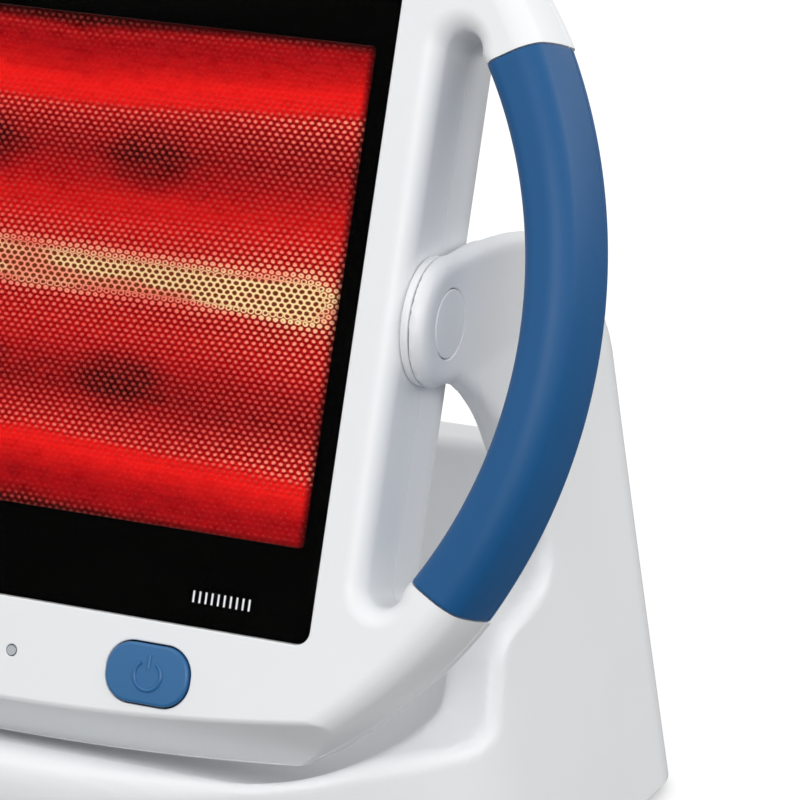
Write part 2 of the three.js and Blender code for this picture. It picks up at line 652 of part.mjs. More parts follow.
function headScrew([x, z], spare) {
  const seat = HANDLE_BACK_DEPTH - HEAD_SCREW_HEAD;
  const tip = seat - HEAD_SCREW_LENGTH - spare;
  const shaft = rod(SCREW_RADIUS + spare, 1, tip, seat + OVERRUN, [x, z], SMALL_SIDES);
  const headEnd = spare > 0 ? HANDLE_BACK_DEPTH + OVERRUN : seat + SCREW_HEAD_HEIGHT;
  return join(shaft, rod(SCREW_HEAD_RADIUS + spare, 1, seat - spare, headEnd, [x, z], SMALL_SIDES));
}

function buttonOutline(spare) {
  return roundRect(-BUTTON_HALF_WIDTH - spare, BUTTON_HALF_WIDTH + spare, -BUTTON_HALF_HEIGHT - spare,
    BUTTON_HALF_HEIGHT + spare, BUTTON_CORNER + spare);
}

function buttonHole(side) {
  const hole = slab(buttonOutline(BUTTON_GAP), -FACE_DEPTH - OVERRUN, -FACE_DEPTH + SHELL_WALL + OVERRUN);
  return hole.translate([side * BUTTON_OFFSET, 0, -BUTTON_DROP]);
}

function ledPlaces() {
  return Array.from({ length: LED_COUNT }, (_, i) => (i - (LED_COUNT - 1) / 2) * LED_PITCH);
}

// Room inside the front frame: deep behind the ledge, deeper still behind the top and bottom bands
function frontCavity() {
  const inset = SHELL_WALL + GAP;
  const corner = SIDE_WALL * TUB_CORNER_SHARE;
  const start = -FACE_DEPTH + SHELL_WALL;
  const hollow = loft([
    tubRing(start, SIDE_WALL - SHELL_WALL, FACE_HALF_HEIGHT - inset, corner),
    tubRing(SEAM_DEPTH + OVERRUN, SIDE_WALL - SHELL_WALL, RIM_HALF_HEIGHT - inset, corner),
  ]);
  const seatSide = GLASS_HALF_WIDTH + SHELL_WALL;
  const seat = block(-seatSide, seatSide, start - OVERRUN, LEDGE_BACK, -GLASS_LOW - SHELL_WALL,
    GLASS_HIGH + SHELL_WALL);
  return cut(hollow, seat, boardRibs());
}

function frontBezel() {
  return cut(
    FRONT_FORM,
    BOTH_GAPS,
    BOTH_POCKETS,
    BOTH_CHANNELS,
    frontCavity(),
    slab(glassOutline(GAP), -FACE_DEPTH - OVERRUN, LEDGE_FRONT),
    slab(windowOutline(LEDGE_LAP), -FACE_DEPTH, LEDGE_BACK + OVERRUN),
    hubHole(),
    buttonHole(1),
    buttonHole(-1),
    ...ledPlaces().map((x) => rod(LED_RADIUS + GAP, 1, -FACE_DEPTH - OVERRUN,
      -FACE_DEPTH + SHELL_WALL + OVERRUN, [x, -BUTTON_DROP], SMALL_SIDES)),
    ...headScrewPlaces().map((place) => headScrew(place, GAP)),
  );
}

function coverTub(inset, start) {
  const reach = COVER_DEPTH - SEAM_DEPTH - inset;
  return loft(tubShares.map(([depthShare, widthShare, heightShare]) => {
    const halfWidth = SIDE_WALL + (COVER_BACK_HALF_WIDTH - SIDE_WALL) * widthShare - inset;
    const halfHeight = RIM_HALF_HEIGHT + (COVER_BACK_HALF_HEIGHT - RIM_HALF_HEIGHT) * heightShare - inset;
    const depth = start + (SEAM_DEPTH + reach - start) * depthShare;
    return tubRing(depth, halfWidth, halfHeight, SIDE_WALL * TUB_CORNER_SHARE);
  }));
}

function ventCutter() {
  const vents = [];
  const front = COVER_DEPTH - SHELL_WALL - OVERRUN;
  const back = COVER_DEPTH + OVERRUN;
  for (let i = 0; i < VENT_COUNT; i += 1) {
    const z = VENT_START + i * VENT_PITCH;
    vents.push(block(-VENT_HALF_LENGTH, VENT_HALF_LENGTH, front, back, z, z + VENT_HEIGHT));
  }
  for (let i = 0; i < FAN_VENT_COUNT; i += 1) {
    const z = FAN_RISE + (i - (FAN_VENT_COUNT - 1) / 2) * FAN_VENT_WIDTH * 2;
    const halfWidth = Math.sqrt(FAN_VENT_RADIUS ** 2 - (z - FAN_RISE) ** 2);
    vents.push(block(-halfWidth, halfWidth, front, back, z - FAN_VENT_WIDTH / 2, z + FAN_VENT_WIDTH / 2));
  }
  return join(...vents);
}

function rearCover() {
  const wings = cut(BACK_FORM, BOTH_GAPS, BOTH_POCKETS, BOTH_CHANNELS);
  const tub = coverTub(0, SEAM_DEPTH + GAP / 2);
  return cut(
    join(wings, tub),
    coverTub(SHELL_WALL, SEAM_DEPTH - OVERRUN),
    ventCutter(),
    hubHole(),
    ...headScrewPlaces().map((place) => headScrew(place, GAP)),
  );
}

function gripPieces() {
  const shell = cut(gripWedge(GAP), gripCore(GAP), GAP_RIGHT);
  return { front: FRONT_FORM.intersect(shell), rear: BACK_FORM.intersect(shell) };
}

function reflectorRing(depth, halfWidth, low, high) {
  return [[halfWidth, -low], [halfWidth, high], [-halfWidth, high], [-halfWidth, -low]]
    .map(([x, z]) => new THREE.Vector3(x, depth, z));
}

function reflectorForm(sheet) {
  const front = FLANGE_FRONT - (sheet > 0 ? OVERRUN : 0);
  const spare = LEDGE_LAP - sheet;
  return loft([
    reflectorRing(front, WINDOW_HALF_WIDTH + spare, WINDOW_LOW + spare, WINDOW_HIGH + spare),
    reflectorRing(FLANGE_FRONT + REFLECTOR_DEPTH * REFLECTOR_KNEE_DEPTH_SHARE,
      REFLECTOR_BACK_HALF_WIDTH + (REFLECTOR_SHEET - sheet) * 2,
      REFLECTOR_BACK_HALF_HEIGHT * REFLECTOR_KNEE_LOW_SHARE - sheet,
      REFLECTOR_BACK_HALF_HEIGHT * REFLECTOR_KNEE_HIGH_SHARE - sheet),
    reflectorRing(FLANGE_FRONT + REFLECTOR_DEPTH - sheet, REFLECTOR_BACK_HALF_WIDTH - sheet,
      REFLECTOR_BACK_HALF_HEIGHT - sheet, REFLECTOR_BACK_HALF_HEIGHT - sheet),
  ]);
}

function reflector() {
  const flangeOutline = windowOutline(LEDGE_LAP + REFLECTOR_FLANGE);
  const flange = slab(flangeOutline, FLANGE_FRONT, FLANGE_FRONT + REFLECTOR_SHEET);
  const lampHole = rod(LAMP_RADIUS + GAP * 2, 0, -SIDE_WALL, SIDE_WALL, [LAMP_DEPTH, LAMP_RISE]);
  return cut(join(reflectorForm(0), flange), reflectorForm(REFLECTOR_SHEET), lampHole);
}

function heatingLamp() {
  const place = [LAMP_DEPTH, LAMP_RISE];
  const end = LAMP_HALF_LENGTH + LAMP_BASE_LENGTH;
  const outside = rod(LAMP_RADIUS, 0, -end, end, place);
  return cut(outside, rod(LAMP_RADIUS - LAMP_WALL, 0, -SIDE_WALL, SIDE_WALL, place));
}

function lampBase(side) {
  const start = LAMP_HALF_LENGTH + LAMP_BASE_LENGTH - LAMP_BASE_PLUG;
  const end = LAMP_HALF_LENGTH + LAMP_BASE_LENGTH + LAMP_BASE_PLUG;
  const place = [LAMP_DEPTH, LAMP_RISE];
  const socketEnd = LAMP_HALF_LENGTH + LAMP_BASE_LENGTH + GAP;
  const ring = cut(rod(LAMP_BASE_RADIUS, 0, start, end, place, SMALL_SIDES),
    rod(LAMP_RADIUS + GAP, 0, start - OVERRUN, socketEnd, place, SMALL_SIDES));
  return side > 0 ? ring : mirrored(ring);
}

function lampHolder(side) {
  const start = LAMP_HALF_LENGTH + LAMP_BASE_LENGTH;
  const place = [LAMP_DEPTH, LAMP_RISE];
  const low = LAMP_RISE - HOLDER_HALF_WIDTH;
  const high = LAMP_RISE + HOLDER_HALF_WIDTH;
  const foot = SHIELD_FRONT - GAP;
  const end = start + HOLDER_SHEET;
  const upright = block(start, end, LAMP_DEPTH - HOLDER_HALF_WIDTH, foot, low, high);
  const sole = block(start - HOLDER_HALF_WIDTH, end, foot - HOLDER_SHEET, foot, low, high);
  const hole = rod(LAMP_BASE_RADIUS + GAP, 0, start - OVERRUN, end + OVERRUN, place, SMALL_SIDES);
  const holder = cut(join(upright, sole), hole);
  return side > 0 ? holder : mirrored(holder);
}

const REFLECTOR_BACK = FLANGE_FRONT + REFLECTOR_DEPTH;
const SHIELD_FRONT = REFLECTOR_BACK + SHIELD_GAP;
const SHIELD_BACK = SHIELD_FRONT + SHIELD_SHEET;
const COVER_INSIDE = COVER_DEPTH - SHELL_WALL;

// The shield stands off the back of the reflector on four pressed feet
function heatShield() {
  const sheet = block(-SHIELD_HALF_WIDTH, SHIELD_HALF_WIDTH, SHIELD_FRONT, SHIELD_BACK,
    -SHIELD_HALF_HEIGHT * SHIELD_LOW_SHARE, SHIELD_HALF_HEIGHT);
  const x = REFLECTOR_BACK_HALF_WIDTH * SHIELD_FOOT_SIDE_SHARE;
  const z = REFLECTOR_BACK_HALF_HEIGHT * SHIELD_FOOT_RISE_SHARE;
  const feet = [[x, z], [-x, z], [x, -z], [-x, -z]]
    .map((place) => rod(BOSS_RADIUS, 1, REFLECTOR_BACK + GAP, SHIELD_BACK, place, SMALL_SIDES));
  return join(sheet, ...feet);
}

function fanFrame() {
  const back = COVER_INSIDE - GAP;
  const front = back - FAN_FRAME_DEPTH;
  const outline = roundRect(-FAN_FRAME_HALF, FAN_FRAME_HALF, FAN_RISE - FAN_FRAME_HALF,
    FAN_RISE + FAN_FRAME_HALF, FAN_STRUT_WIDTH);
  const frame = slab(outline, front, back);
  const open = cut(frame, rod(FAN_BORE, 1, front - OVERRUN, back + OVERRUN, [0, FAN_RISE]));
  const strutUp = block(-FAN_STRUT_WIDTH / 2, FAN_STRUT_WIDTH / 2, front, front + FAN_STRUT_DEPTH,
    FAN_RISE - FAN_BORE - OVERRUN, FAN_RISE + FAN_BORE + OVERRUN);
  const strutAcross = block(-FAN_BORE - OVERRUN, FAN_BORE + OVERRUN, front, front + FAN_STRUT_DEPTH,
    FAN_RISE - FAN_STRUT_WIDTH / 2, FAN_RISE + FAN_STRUT_WIDTH / 2);
  return join(open, strutUp, strutAcross);
}

function fanRotor() {
  const back = COVER_INSIDE - GAP * 2;
  const front = back - FAN_ROTOR_DEPTH + GAP;
  const blades = [];
  for (let i = 0; i < FAN_BLADE_COUNT; i += 1) {
    const blade = new THREE.BoxGeometry(FAN_BLADE_RADIUS - FAN_HUB_RADIUS + OVERRUN, FAN_BLADE_THICKNESS,
      FAN_ROTOR_DEPTH * BLADE_DEPTH_SHARE);
    blade.rotateX(THREE.MathUtils.degToRad(FAN_BLADE_PITCH));
    blade.translate((FAN_BLADE_RADIUS + FAN_HUB_RADIUS - OVERRUN) / 2, 0, 0);
    blade.rotateY(2 * Math.PI * i / FAN_BLADE_COUNT);
    blade.translate(0, (front + back) / 2, FAN_RISE);
    blades.push(solidOf(blade));
  }
  return join(rod(FAN_HUB_RADIUS, 1, front, back, [0, FAN_RISE]), ...blades);
}

function button(side) {
  const cap = slab(buttonOutline(0), -FACE_DEPTH - BUTTON_PROUD / 2, FLANGE_BEHIND + BUTTON_FLANGE_THICKNESS);
  const crown = slab(buttonOutline(-BUTTON_PROUD), -FACE_DEPTH - BUTTON_PROUD, -FACE_DEPTH);
  const earReach = BUTTON_HALF_WIDTH + BUTTON_GAP + BUTTON_EAR;
  const ears = block(-earReach, earReach, FLANGE_BEHIND, FLANGE_BEHIND + BUTTON_FLANGE_THICKNESS, -BUTTON_EAR,
    BUTTON_EAR);
  const stem = rod(STEM_RADIUS, 1, FLANGE_BEHIND, STEM_BACK, [0, 0], SMALL_SIDES);
  return join(cap, crown, ears, stem).translate([side * BUTTON_OFFSET, 0, -BUTTON_DROP]);
}

function boardSwitch(side) {
  const x = side * BUTTON_OFFSET;
  return block(x - SWITCH_HALF, x + SWITCH_HALF, SWITCH_FRONT, BOARD_FRONT - GAP, -BUTTON_DROP - SWITCH_HALF,
    -BUTTON_DROP + SWITCH_HALF);
}

function controlBoard() {
  return block(-BOARD_HALF_WIDTH, BOARD_HALF_WIDTH, BOARD_FRONT, BOARD_BACK, -BUTTON_DROP - BOARD_HALF_HEIGHT,
    -BUTTON_DROP + BOARD_HALF_HEIGHT);
}

// Two ribs behind the lower band of the front frame carry the board
function boardRibs() {
  const ribs = [-BOARD_HALF_WIDTH, BOARD_HALF_WIDTH].map((x) => block(x - SHELL_WALL, x + SHELL_WALL,
    -FACE_DEPTH + OVERRUN, BOARD_FRONT - GAP, -BUTTON_DROP - SWITCH_HALF, -BUTTON_DROP + SWITCH_HALF));
  return join(...ribs);
}

function timerLight(x) {
  return rod(LED_RADIUS, 1, -FACE_DEPTH + GAP / 2, BOARD_FRONT - GAP, [x, -BUTTON_DROP], SMALL_SIDES);
}

function relay() {
  const x = LED_OFFSET;
  return block(x - RELAY_HALF_WIDTH, x + RELAY_HALF_WIDTH, BOARD_BACK + GAP, BOARD_BACK + GAP + RELAY_DEPTH,
    -BUTTON_DROP - RELAY_HALF_HEIGHT, -BUTTON_DROP + RELAY_HALF_HEIGHT);
}

function buzzer() {
  const front = BOARD_BACK + GAP;
  return rod(BUZZER_RADIUS, 1, front, front + BUZZER_DEPTH, [-LED_OFFSET, -BUTTON_DROP]);
}

function terminalBlock() {
  const back = COVER_INSIDE - GAP;
  const x = TERMINAL_OFFSET;
  return block(x - TERMINAL_HALF_WIDTH, x + TERMINAL_HALF_WIDTH, back - TERMINAL_DEPTH, back,
    FAN_RISE - TERMINAL_HALF_HEIGHT, FAN_RISE + TERMINAL_HALF_HEIGHT);
}

function thermalCutout() {
  return rod(CUTOUT_RADIUS, 1, SHIELD_BACK + GAP, SHIELD_BACK + GAP + CUTOUT_HEIGHT, [CUTOUT_OFFSET, 0]);
}

function pivotRing() {
  return cut(rod(RING_RADIUS, 0, RING_INSIDE, RING_OUTSIDE, [0, 0], ROUND_SIDES * 2),
    rod(TRUNNION_RADIUS + GAP, 0, RING_INSIDE - OVERRUN, RING_OUTSIDE + OVERRUN, [0, 0]));
}

function trunnion() {
  const inner = SIDE_WALL - TRUNNION_REACH;
  const outer = ARM_OUTSIDE - HUB_CAP_THICKNESS - GAP;
  const flangeOutside = SIDE_WALL - SHELL_WALL - GAP;
  return cut(
    join(rod(TRUNNION_RADIUS, 0, inner, outer, [0, 0]),
      rod(TRUNNION_FLANGE, 0, flangeOutside - TRUNNION_FLANGE_THICKNESS, flangeOutside, [0, 0])),
    rod(TRUNNION_BORE, 0, inner - OVERRUN, outer + OVERRUN, [0, 0]),
  );
}

function hubCap() {
  const inner = ARM_OUTSIDE - HUB_CAP_THICKNESS;
  return rod(HUB_CAP_RADIUS, 0, inner, ARM_OUTSIDE + GAP / 2, [0, 0], ROUND_SIDES * 2);
}

function sharePoints(shares) {
  return shares.map(([y, z]) => new THREE.Vector2(y * STAND_BACK, z * PIVOT_HEIGHT));
}

// The arm's side view, moved inwards by inset
function armOutline(inset) {
  const shares = [...sharePoints(footTopShares), ...sharePoints(armBackShares).slice(1)];
  const hub = [];
  for (let i = 1; i < ARC_STEPS; i += 1) {
    const turn = -Math.PI / 2 - Math.PI * i / ARC_STEPS;
    hub.push(new THREE.Vector2(ARM_RADIUS * Math.cos(turn), ARM_RADIUS * Math.sin(turn)));
  }
  const start = footTopShares.length;
  hub.push(new THREE.Vector2(0, ARM_RADIUS));
  const points = [...shares.slice(0, start), ...hub, ...shares.slice(start)];
  if (inset === 0) return points;
  return points.map((point, i) => {
    const before = points[(i + points.length - 1) % points.length];
    const after = points[(i + 1) % points.length];
    const along = after.clone().sub(before).normalize();
    return new THREE.Vector2(point.x + along.y * inset, point.y - along.x * inset);
  });
}

// Half width of the stand at a height measured from the pivot axis
function standHalfWidth(z) {
  const share = Math.min(Math.max((-ARM_RADIUS - z) / (PIVOT_HEIGHT - ARM_RADIUS), 0), 1);
  return ARM_OUTSIDE + (STAND_HALF_WIDTH - ARM_OUTSIDE) * share ** FLARE_POWER_SHARE;
}

// Where the side walls begin at a height: ahead of the hubs up there, behind the axis at the foot
function sideStart(z) {
  return z > -ARM_RADIUS * HUB_SIDE_SHARE ? -ARM_RADIUS - HUB_SIDE_SPARE : STAND_SIDE_START;
}

// Plan outline of the stand at one height: straight back and sides, full bow in front
function planRing(z, inset) {
  const halfWidth = standHalfWidth(z) - inset;
  const start = sideStart(z);
  const back = STAND_BACK - inset;
  const front = STAND_FRONT - inset;
  const ring = [];
  const bowSteps = ARC_STEPS * 2;
  for (let i = 0; i <= bowSteps; i += 1) {
    const turn = Math.PI * i / bowSteps;
    const x = -Math.sign(Math.cos(turn)) * halfWidth * Math.abs(Math.cos(turn)) ** PLAN_BOW_SHARE;
    const y = start - (front + start) * Math.sin(turn) ** PLAN_BOW_SHARE;
    ring.push(new THREE.Vector3(x, y, z));
  }
  const corner = STAND_CORNER - inset;
  for (const side of [1, -1]) {
    for (let i = 0; i <= END_STEPS; i += 1) {
      const turn = Math.PI / 2 * (side > 0 ? i : END_STEPS - i) / END_STEPS;
      ring.push(new THREE.Vector3(side * (halfWidth - corner + corner * Math.cos(turn)),
        back - corner + corner * Math.sin(turn), z));
    }
  }
  return ring;
}

function planForm(bottom, inset) {
  const levels = standLevelShares.map((share) => bottom + (-ARM_RADIUS - bottom) * share);
  return loft([...levels.map((z) => planRing(z, inset)), planRing(ARM_RADIUS + OVERRUN, inset)]);
}

// Plan of the space between the arms, from low to high
function betweenArms(spare, low, high) {
  const wide = ARM_INSIDE + spare;
  const narrow = wide - ARM_THICKENING;
  const right = [[wide, -STAND_BACK], [wide, ARM_THICKENING_START], [narrow, ARM_THICKENING_END],
    [narrow, STAND_BACK + OVERRUN * 2]];
  const plan = [...right, ...right.map(([x, y]) => [-x, y]).reverse()];
  return loft([low, high].map((z) => plan.map(([x, y]) => new THREE.Vector3(x, y, z))));
}

// Space where the head swings, widened by spare
function swingSpace(spare) {
  const reach = HEAD_SWING + spare;
  const side = ARM_INSIDE + spare;
  const barrel = RIM_RADIUS + BARREL_SPARE + spare;
  const ball = solidOf(new THREE.SphereGeometry(barrel, ROUND_SIDES * 2, ROUND_SIDES));
  const round = rod(reach, 0, -side, side, [0, 0], ROUND_SIDES * 2).intersect(ball);
  const above = betweenArms(spare, -BACK_WALL_DROP - spare, ARM_RADIUS * 2);
  return join(round.intersect(betweenArms(spare, -reach, reach)), above);
}

const FLOOR = -PIVOT_HEIGHT;
const RIM_BOTTOM = FLOOR + STAND_LIFT;
const PLATE_BOTTOM = RIM_BOTTOM + PLATE_RECESS;
const PLATE_TOP = PLATE_BOTTOM + PLATE_THICKNESS;

function baseScrewPlaces() {
  return [[1, -BASE_SCREW_FRONT], [-1, -BASE_SCREW_FRONT], [1, BASE_SCREW_BACK], [-1, BASE_SCREW_BACK]]
    .map(([side, y]) => [side * BASE_SCREW_SIDE, y]);
}

function standHollow() {
  const bottom = RIM_BOTTOM - OVERRUN;
  const plan = planForm(bottom, STAND_WALL);
  const sideView = sideSlab(armOutline(STAND_WALL), -STAND_HALF_WIDTH, STAND_HALF_WIDTH);
  const below = block(-STAND_HALF_WIDTH, STAND_HALF_WIDTH, -STAND_FRONT + STAND_WALL,
    STAND_BACK - STAND_WALL * 3, bottom, RIM_BOTTOM + STAND_WALL * 2);
  const room = plan.intersect(join(sideView, below));
  const low = block(-STAND_HALF_WIDTH, STAND_HALF_WIDTH, -STAND_FRONT, STAND_BACK, bottom - OVERRUN,
    -ARM_RADIUS - BACK_WALL_DROP * SOLID_ARM_SHARE);
  const bosses = baseScrewPlaces()
    .map((place) => rod(BOSS_RADIUS, 2, PLATE_TOP + GAP, 0, place, SMALL_SIDES));
  return cut(room.intersect(low), swingSpace(STAND_WALL), ...bosses);
}

function inletHole() {
  return rod(INLET_RADIUS + GAP, 1, STAND_BACK - STAND_WALL * 4, STAND_BACK + OVERRUN,
    [INLET_SIDE, FLOOR + INLET_HEIGHT], SMALL_SIDES);
}

function standShell() {
  const outside = planForm(RIM_BOTTOM, 0)
    .intersect(sideSlab(armOutline(0), -STAND_HALF_WIDTH - OVERRUN, STAND_HALF_WIDTH + OVERRUN));
  const seat = ARM_OUTSIDE - HUB_CAP_THICKNESS - GAP;
  const capSeat = rod(HUB_CAP_RADIUS + GAP, 0, seat, ARM_OUTSIDE + OVERRUN, [0, 0], ROUND_SIDES * 2);
  const arm = rod(TRUNNION_RADIUS + GAP, 0, 0, ARM_OUTSIDE - HUB_CAP_THICKNESS, [0, 0]);
  const bores = baseScrewPlaces().map((place) => {
    return rod(SCREW_RADIUS + GAP, 2, PLATE_TOP, PLATE_TOP + SCREW_LENGTH, place, SMALL_SIDES);
  });
  return cut(outside, swingSpace(0), standHollow(), capSeat, mirrored(capSeat), arm, mirrored(arm), ...bores,
    inletHole());
}

function basePlate() {
  const inset = STAND_WALL + GAP;
  const rings = [planRing(PLATE_BOTTOM, inset), planRing(PLATE_TOP, inset)];
  const sideView = block(-STAND_HALF_WIDTH, STAND_HALF_WIDTH, -STAND_FRONT * PLATE_REACH_SHARE,
    STAND_BACK * PLATE_REACH_SHARE, PLATE_BOTTOM - OVERRUN, PLATE_TOP + OVERRUN);
  const holes = baseScrewPlaces().map((place) => rod(SCREW_RADIUS + GAP, 2, PLATE_BOTTOM - OVERRUN,
    PLATE_TOP + OVERRUN, place, SMALL_SIDES));
  return cut(loft(rings).intersect(sideView), ...holes);
}

function baseWeight() {
  return block(-WEIGHT_HALF_WIDTH, WEIGHT_HALF_WIDTH, WEIGHT_BACK - WEIGHT_DEPTH, WEIGHT_BACK,
    PLATE_TOP + GAP, PLATE_TOP + GAP + WEIGHT_THICKNESS);
}

function baseScrew([x, y]) {
  const headTop = PLATE_BOTTOM - GAP;
  return join(rod(SCREW_HEAD_RADIUS, 2, headTop - SCREW_HEAD_HEIGHT, headTop, [x, y], SMALL_SIDES),
    rod(SCREW_RADIUS, 2, headTop - OVERRUN, PLATE_TOP + SCREW_LENGTH - OVERRUN, [x, y], SMALL_SIDES));
}

function rubberFoot(x, y) {
  return rod(FOOT_RADIUS, 2, FLOOR, PLATE_BOTTOM - GAP, [x, y]);
}

function cordInlet() {
  const place = [INLET_SIDE, FLOOR + INLET_HEIGHT];
  const face = inletFace();
  const end = face + GAP + INLET_FLANGE_THICKNESS;
  const flange = rod(INLET_FLANGE, 1, face + GAP, end, place, SMALL_SIDES);
  const sleeve = rod(INLET_RADIUS, 1, face - STAND_WALL, end, place, SMALL_SIDES);
  const bore = rod(INLET_BORE, 1, face - STAND_WALL * 2, end + OVERRUN, place, SMALL_SIDES);
  return cut(join(flange, sleeve), bore);
}

// Depth of the stand's back wall at the height of the inlet
function inletFace() {
  const low = armBackShares[armBackShares.length - 1];
  const next = armBackShares[armBackShares.length - 2];
  const z = (INLET_HEIGHT + INLET_FLANGE) / PIVOT_HEIGHT - 1;
  const share = low[0] + (next[0] - low[0]) * (z - low[1]) / (next[1] - low[1]);
  return share * STAND_BACK;
}

addPiece(stand, 'stand_shell', standShell(), 'white');
addPiece(stand, 'base_plate', basePlate(), 'dark');
addPiece(stand, 'base_weight', baseWeight(), 'steel');
for (const [name, x, y] of [['front_right', 1, -FOOT_FRONT], ['front_left', -1, -FOOT_FRONT],
  ['back_right', 1, FOOT_BACK], ['back_left', -1, FOOT_BACK]]) {
  addPiece(stand, `rubber_foot_${name}`, rubberFoot(x * FOOT_SIDE, y), 'rubber');
}
baseScrewPlaces().forEach((place, i) => addPiece(stand, `base_screw_${i + 1}`, baseScrew(place), 'steel'));
addPiece(stand, 'cord_inlet', cordInlet(), 'rubber');
addPiece(stand, 'trunnion_right', trunnion(), 'dark');
addPiece(stand, 'trunnion_left', mirrored(trunnion()), 'dark');
addPiece(stand, 'hub_cap_right', hubCap(), 'white');
addPiece(stand, 'hub_cap_left', mirrored(hubCap()), 'white');

const grips = gripPieces();
addPiece(head, 'front_bezel', frontBezel(), 'white');
addPiece(head, 'rear_cover', rearCover(), 'white');
addPiece(head, 'grip_front_right', grips.front, 'blue');
addPiece(head, 'grip_front_left', mirrored(grips.front), 'blue');
addPiece(head, 'grip_rear_right', grips.rear, 'blue');
addPiece(head, 'grip_rear_left', mirrored(grips.rear), 'blue');
addPiece(head, 'pivot_ring_right', pivotRing(), 'white');
addPiece(head, 'pivot_ring_left', mirrored(pivotRing()), 'white');
headScrewPlaces().forEach((place, i) => addPiece(head, `head_screw_${i + 1}`, headScrew(place, 0), 'steel'));
addPiece(head, 'ceramic_glass', slab(glassOutline(0), GLASS_FRONT, GLASS_BACK), 'black');
addPiece(head, 'glass_gasket', cut(slab(glassOutline(-GAP), GASKET_FRONT, GASKET_BACK),
  slab(windowOutline(0), GASKET_FRONT - OVERRUN, GASKET_BACK + OVERRUN)), 'rubber');
addPiece(head, 'dimpled_filter', slab(windowOutline(LEDGE_LAP - GAP), LEDGE_FRONT,
  LEDGE_FRONT + FILTER_THICKNESS), 'filter');
addPiece(head, 'reflector', reflector(), 'aluminium');
addPiece(head, 'quartz_tube', heatingLamp(), 'clear');
addPiece(head, 'heating_coil', rod(COIL_RADIUS, 0, -LAMP_HALF_LENGTH - LAMP_BASE_LENGTH, LAMP_HALF_LENGTH
  + LAMP_BASE_LENGTH, [LAMP_DEPTH, LAMP_RISE], SMALL_SIDES), 'tungsten');
addPiece(head, 'lamp_base_right', lampBase(1), 'ceramic');
addPiece(head, 'lamp_base_left', lampBase(-1), 'ceramic');
addPiece(head, 'lamp_holder_right', lampHolder(1), 'steel');
addPiece(head, 'lamp_holder_left', lampHolder(-1), 'steel');
addPiece(head, 'heat_shield', heatShield(), 'aluminium');
addPiece(head, 'thermal_cutout', thermalCutout(), 'dark');
addPiece(head, 'fan_frame', fanFrame(), 'dark');
addPiece(head, 'fan_rotor', fanRotor(), 'dark');
addPiece(head, 'control_board', controlBoard(), 'board');
addPiece(head, 'power_switch', boardSwitch(1), 'dark');
addPiece(head, 'timer_switch', boardSwitch(-1), 'dark');
ledPlaces().forEach((x, i) => addPiece(head, `timer_light_${i + 1}`, timerLight(x), 'clear'));
addPiece(head, 'relay', relay(), 'dark');
addPiece(head, 'buzzer', buzzer(), 'dark');
addPiece(head, 'terminal_block', terminalBlock(), 'dark');
addPiece(head, 'power_button', button(1), 'blue');
addPiece(head, 'timer_button', button(-1), 'blue');

export default group;
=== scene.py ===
# %% [markdown]
# # Table infrared lamp
# A wide white head with a glowing red pane leans between the two arms of a stand. Two side handles
# carry blue grips. Every length below is in millimetres until a finished mesh is put in its place,
# because the parts of such a lamp are drawn in millimetres.

# %% Load the fixed frame
import json
import math

import bmesh
import bpy
import numpy as np
import openvdb
from mathutils import Matrix, Vector

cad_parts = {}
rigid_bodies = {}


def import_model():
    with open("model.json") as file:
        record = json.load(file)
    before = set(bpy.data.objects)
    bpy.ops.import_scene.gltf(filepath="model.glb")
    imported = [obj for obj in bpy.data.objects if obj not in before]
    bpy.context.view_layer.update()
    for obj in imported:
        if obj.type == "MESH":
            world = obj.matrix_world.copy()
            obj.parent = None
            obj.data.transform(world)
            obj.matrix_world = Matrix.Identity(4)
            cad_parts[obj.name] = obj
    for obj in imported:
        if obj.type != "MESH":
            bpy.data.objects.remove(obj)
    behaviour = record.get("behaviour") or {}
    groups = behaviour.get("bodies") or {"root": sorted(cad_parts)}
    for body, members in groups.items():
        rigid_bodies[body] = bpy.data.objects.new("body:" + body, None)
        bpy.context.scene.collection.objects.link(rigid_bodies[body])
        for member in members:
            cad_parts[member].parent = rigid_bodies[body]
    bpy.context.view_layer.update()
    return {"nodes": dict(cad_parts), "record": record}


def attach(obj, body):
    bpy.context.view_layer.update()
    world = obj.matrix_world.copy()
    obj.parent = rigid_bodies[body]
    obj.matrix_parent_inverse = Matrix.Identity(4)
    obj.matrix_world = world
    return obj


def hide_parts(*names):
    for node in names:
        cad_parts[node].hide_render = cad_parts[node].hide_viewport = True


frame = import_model()
print("frame loaded:", len(frame["nodes"]), "nodes")

# %% [markdown]
# The head is easiest to draw upright, with u to the right, w into the depth and v up, and the tilt
# axis at zero. One matrix then leans it back by 20 degrees and sets it on its axis. The stand uses
# the same axis as its zero, but stays upright.

# %% Places of the head and of the stand
MM = 0.001
TILT_JOINT = next(j for j in frame["record"]["behaviour"]["joints"] if j["name"] == "head_tilt")
PIVOT = Vector(TILT_JOINT["pos_m"])
REST_LEAN = math.radians(20)
ON_STAND = Matrix.Translation(PIVOT) @ Matrix.Scale(MM, 4)
ON_HEAD = Matrix.Translation(PIVOT) @ Matrix.Rotation(-REST_LEAN, 4, "X") @ Matrix.Scale(MM, 4)
FLOOR = -PIVOT.z / MM
print("tilt axis at", [round(value, 4) for value in PIVOT])

# %% [markdown]
# Most shells here are lofts: a skin through rings that all have the same number of points. A loft
# keeps the faces in long even strips, so broad plastic surfaces shade without ripples, which a
# sculpted or remeshed shell would show.

# %% Helpers that make meshes
def add_piece(name, mesh):
    piece = bpy.data.objects.new(name, mesh)
    bpy.context.collection.objects.link(piece)
    return piece


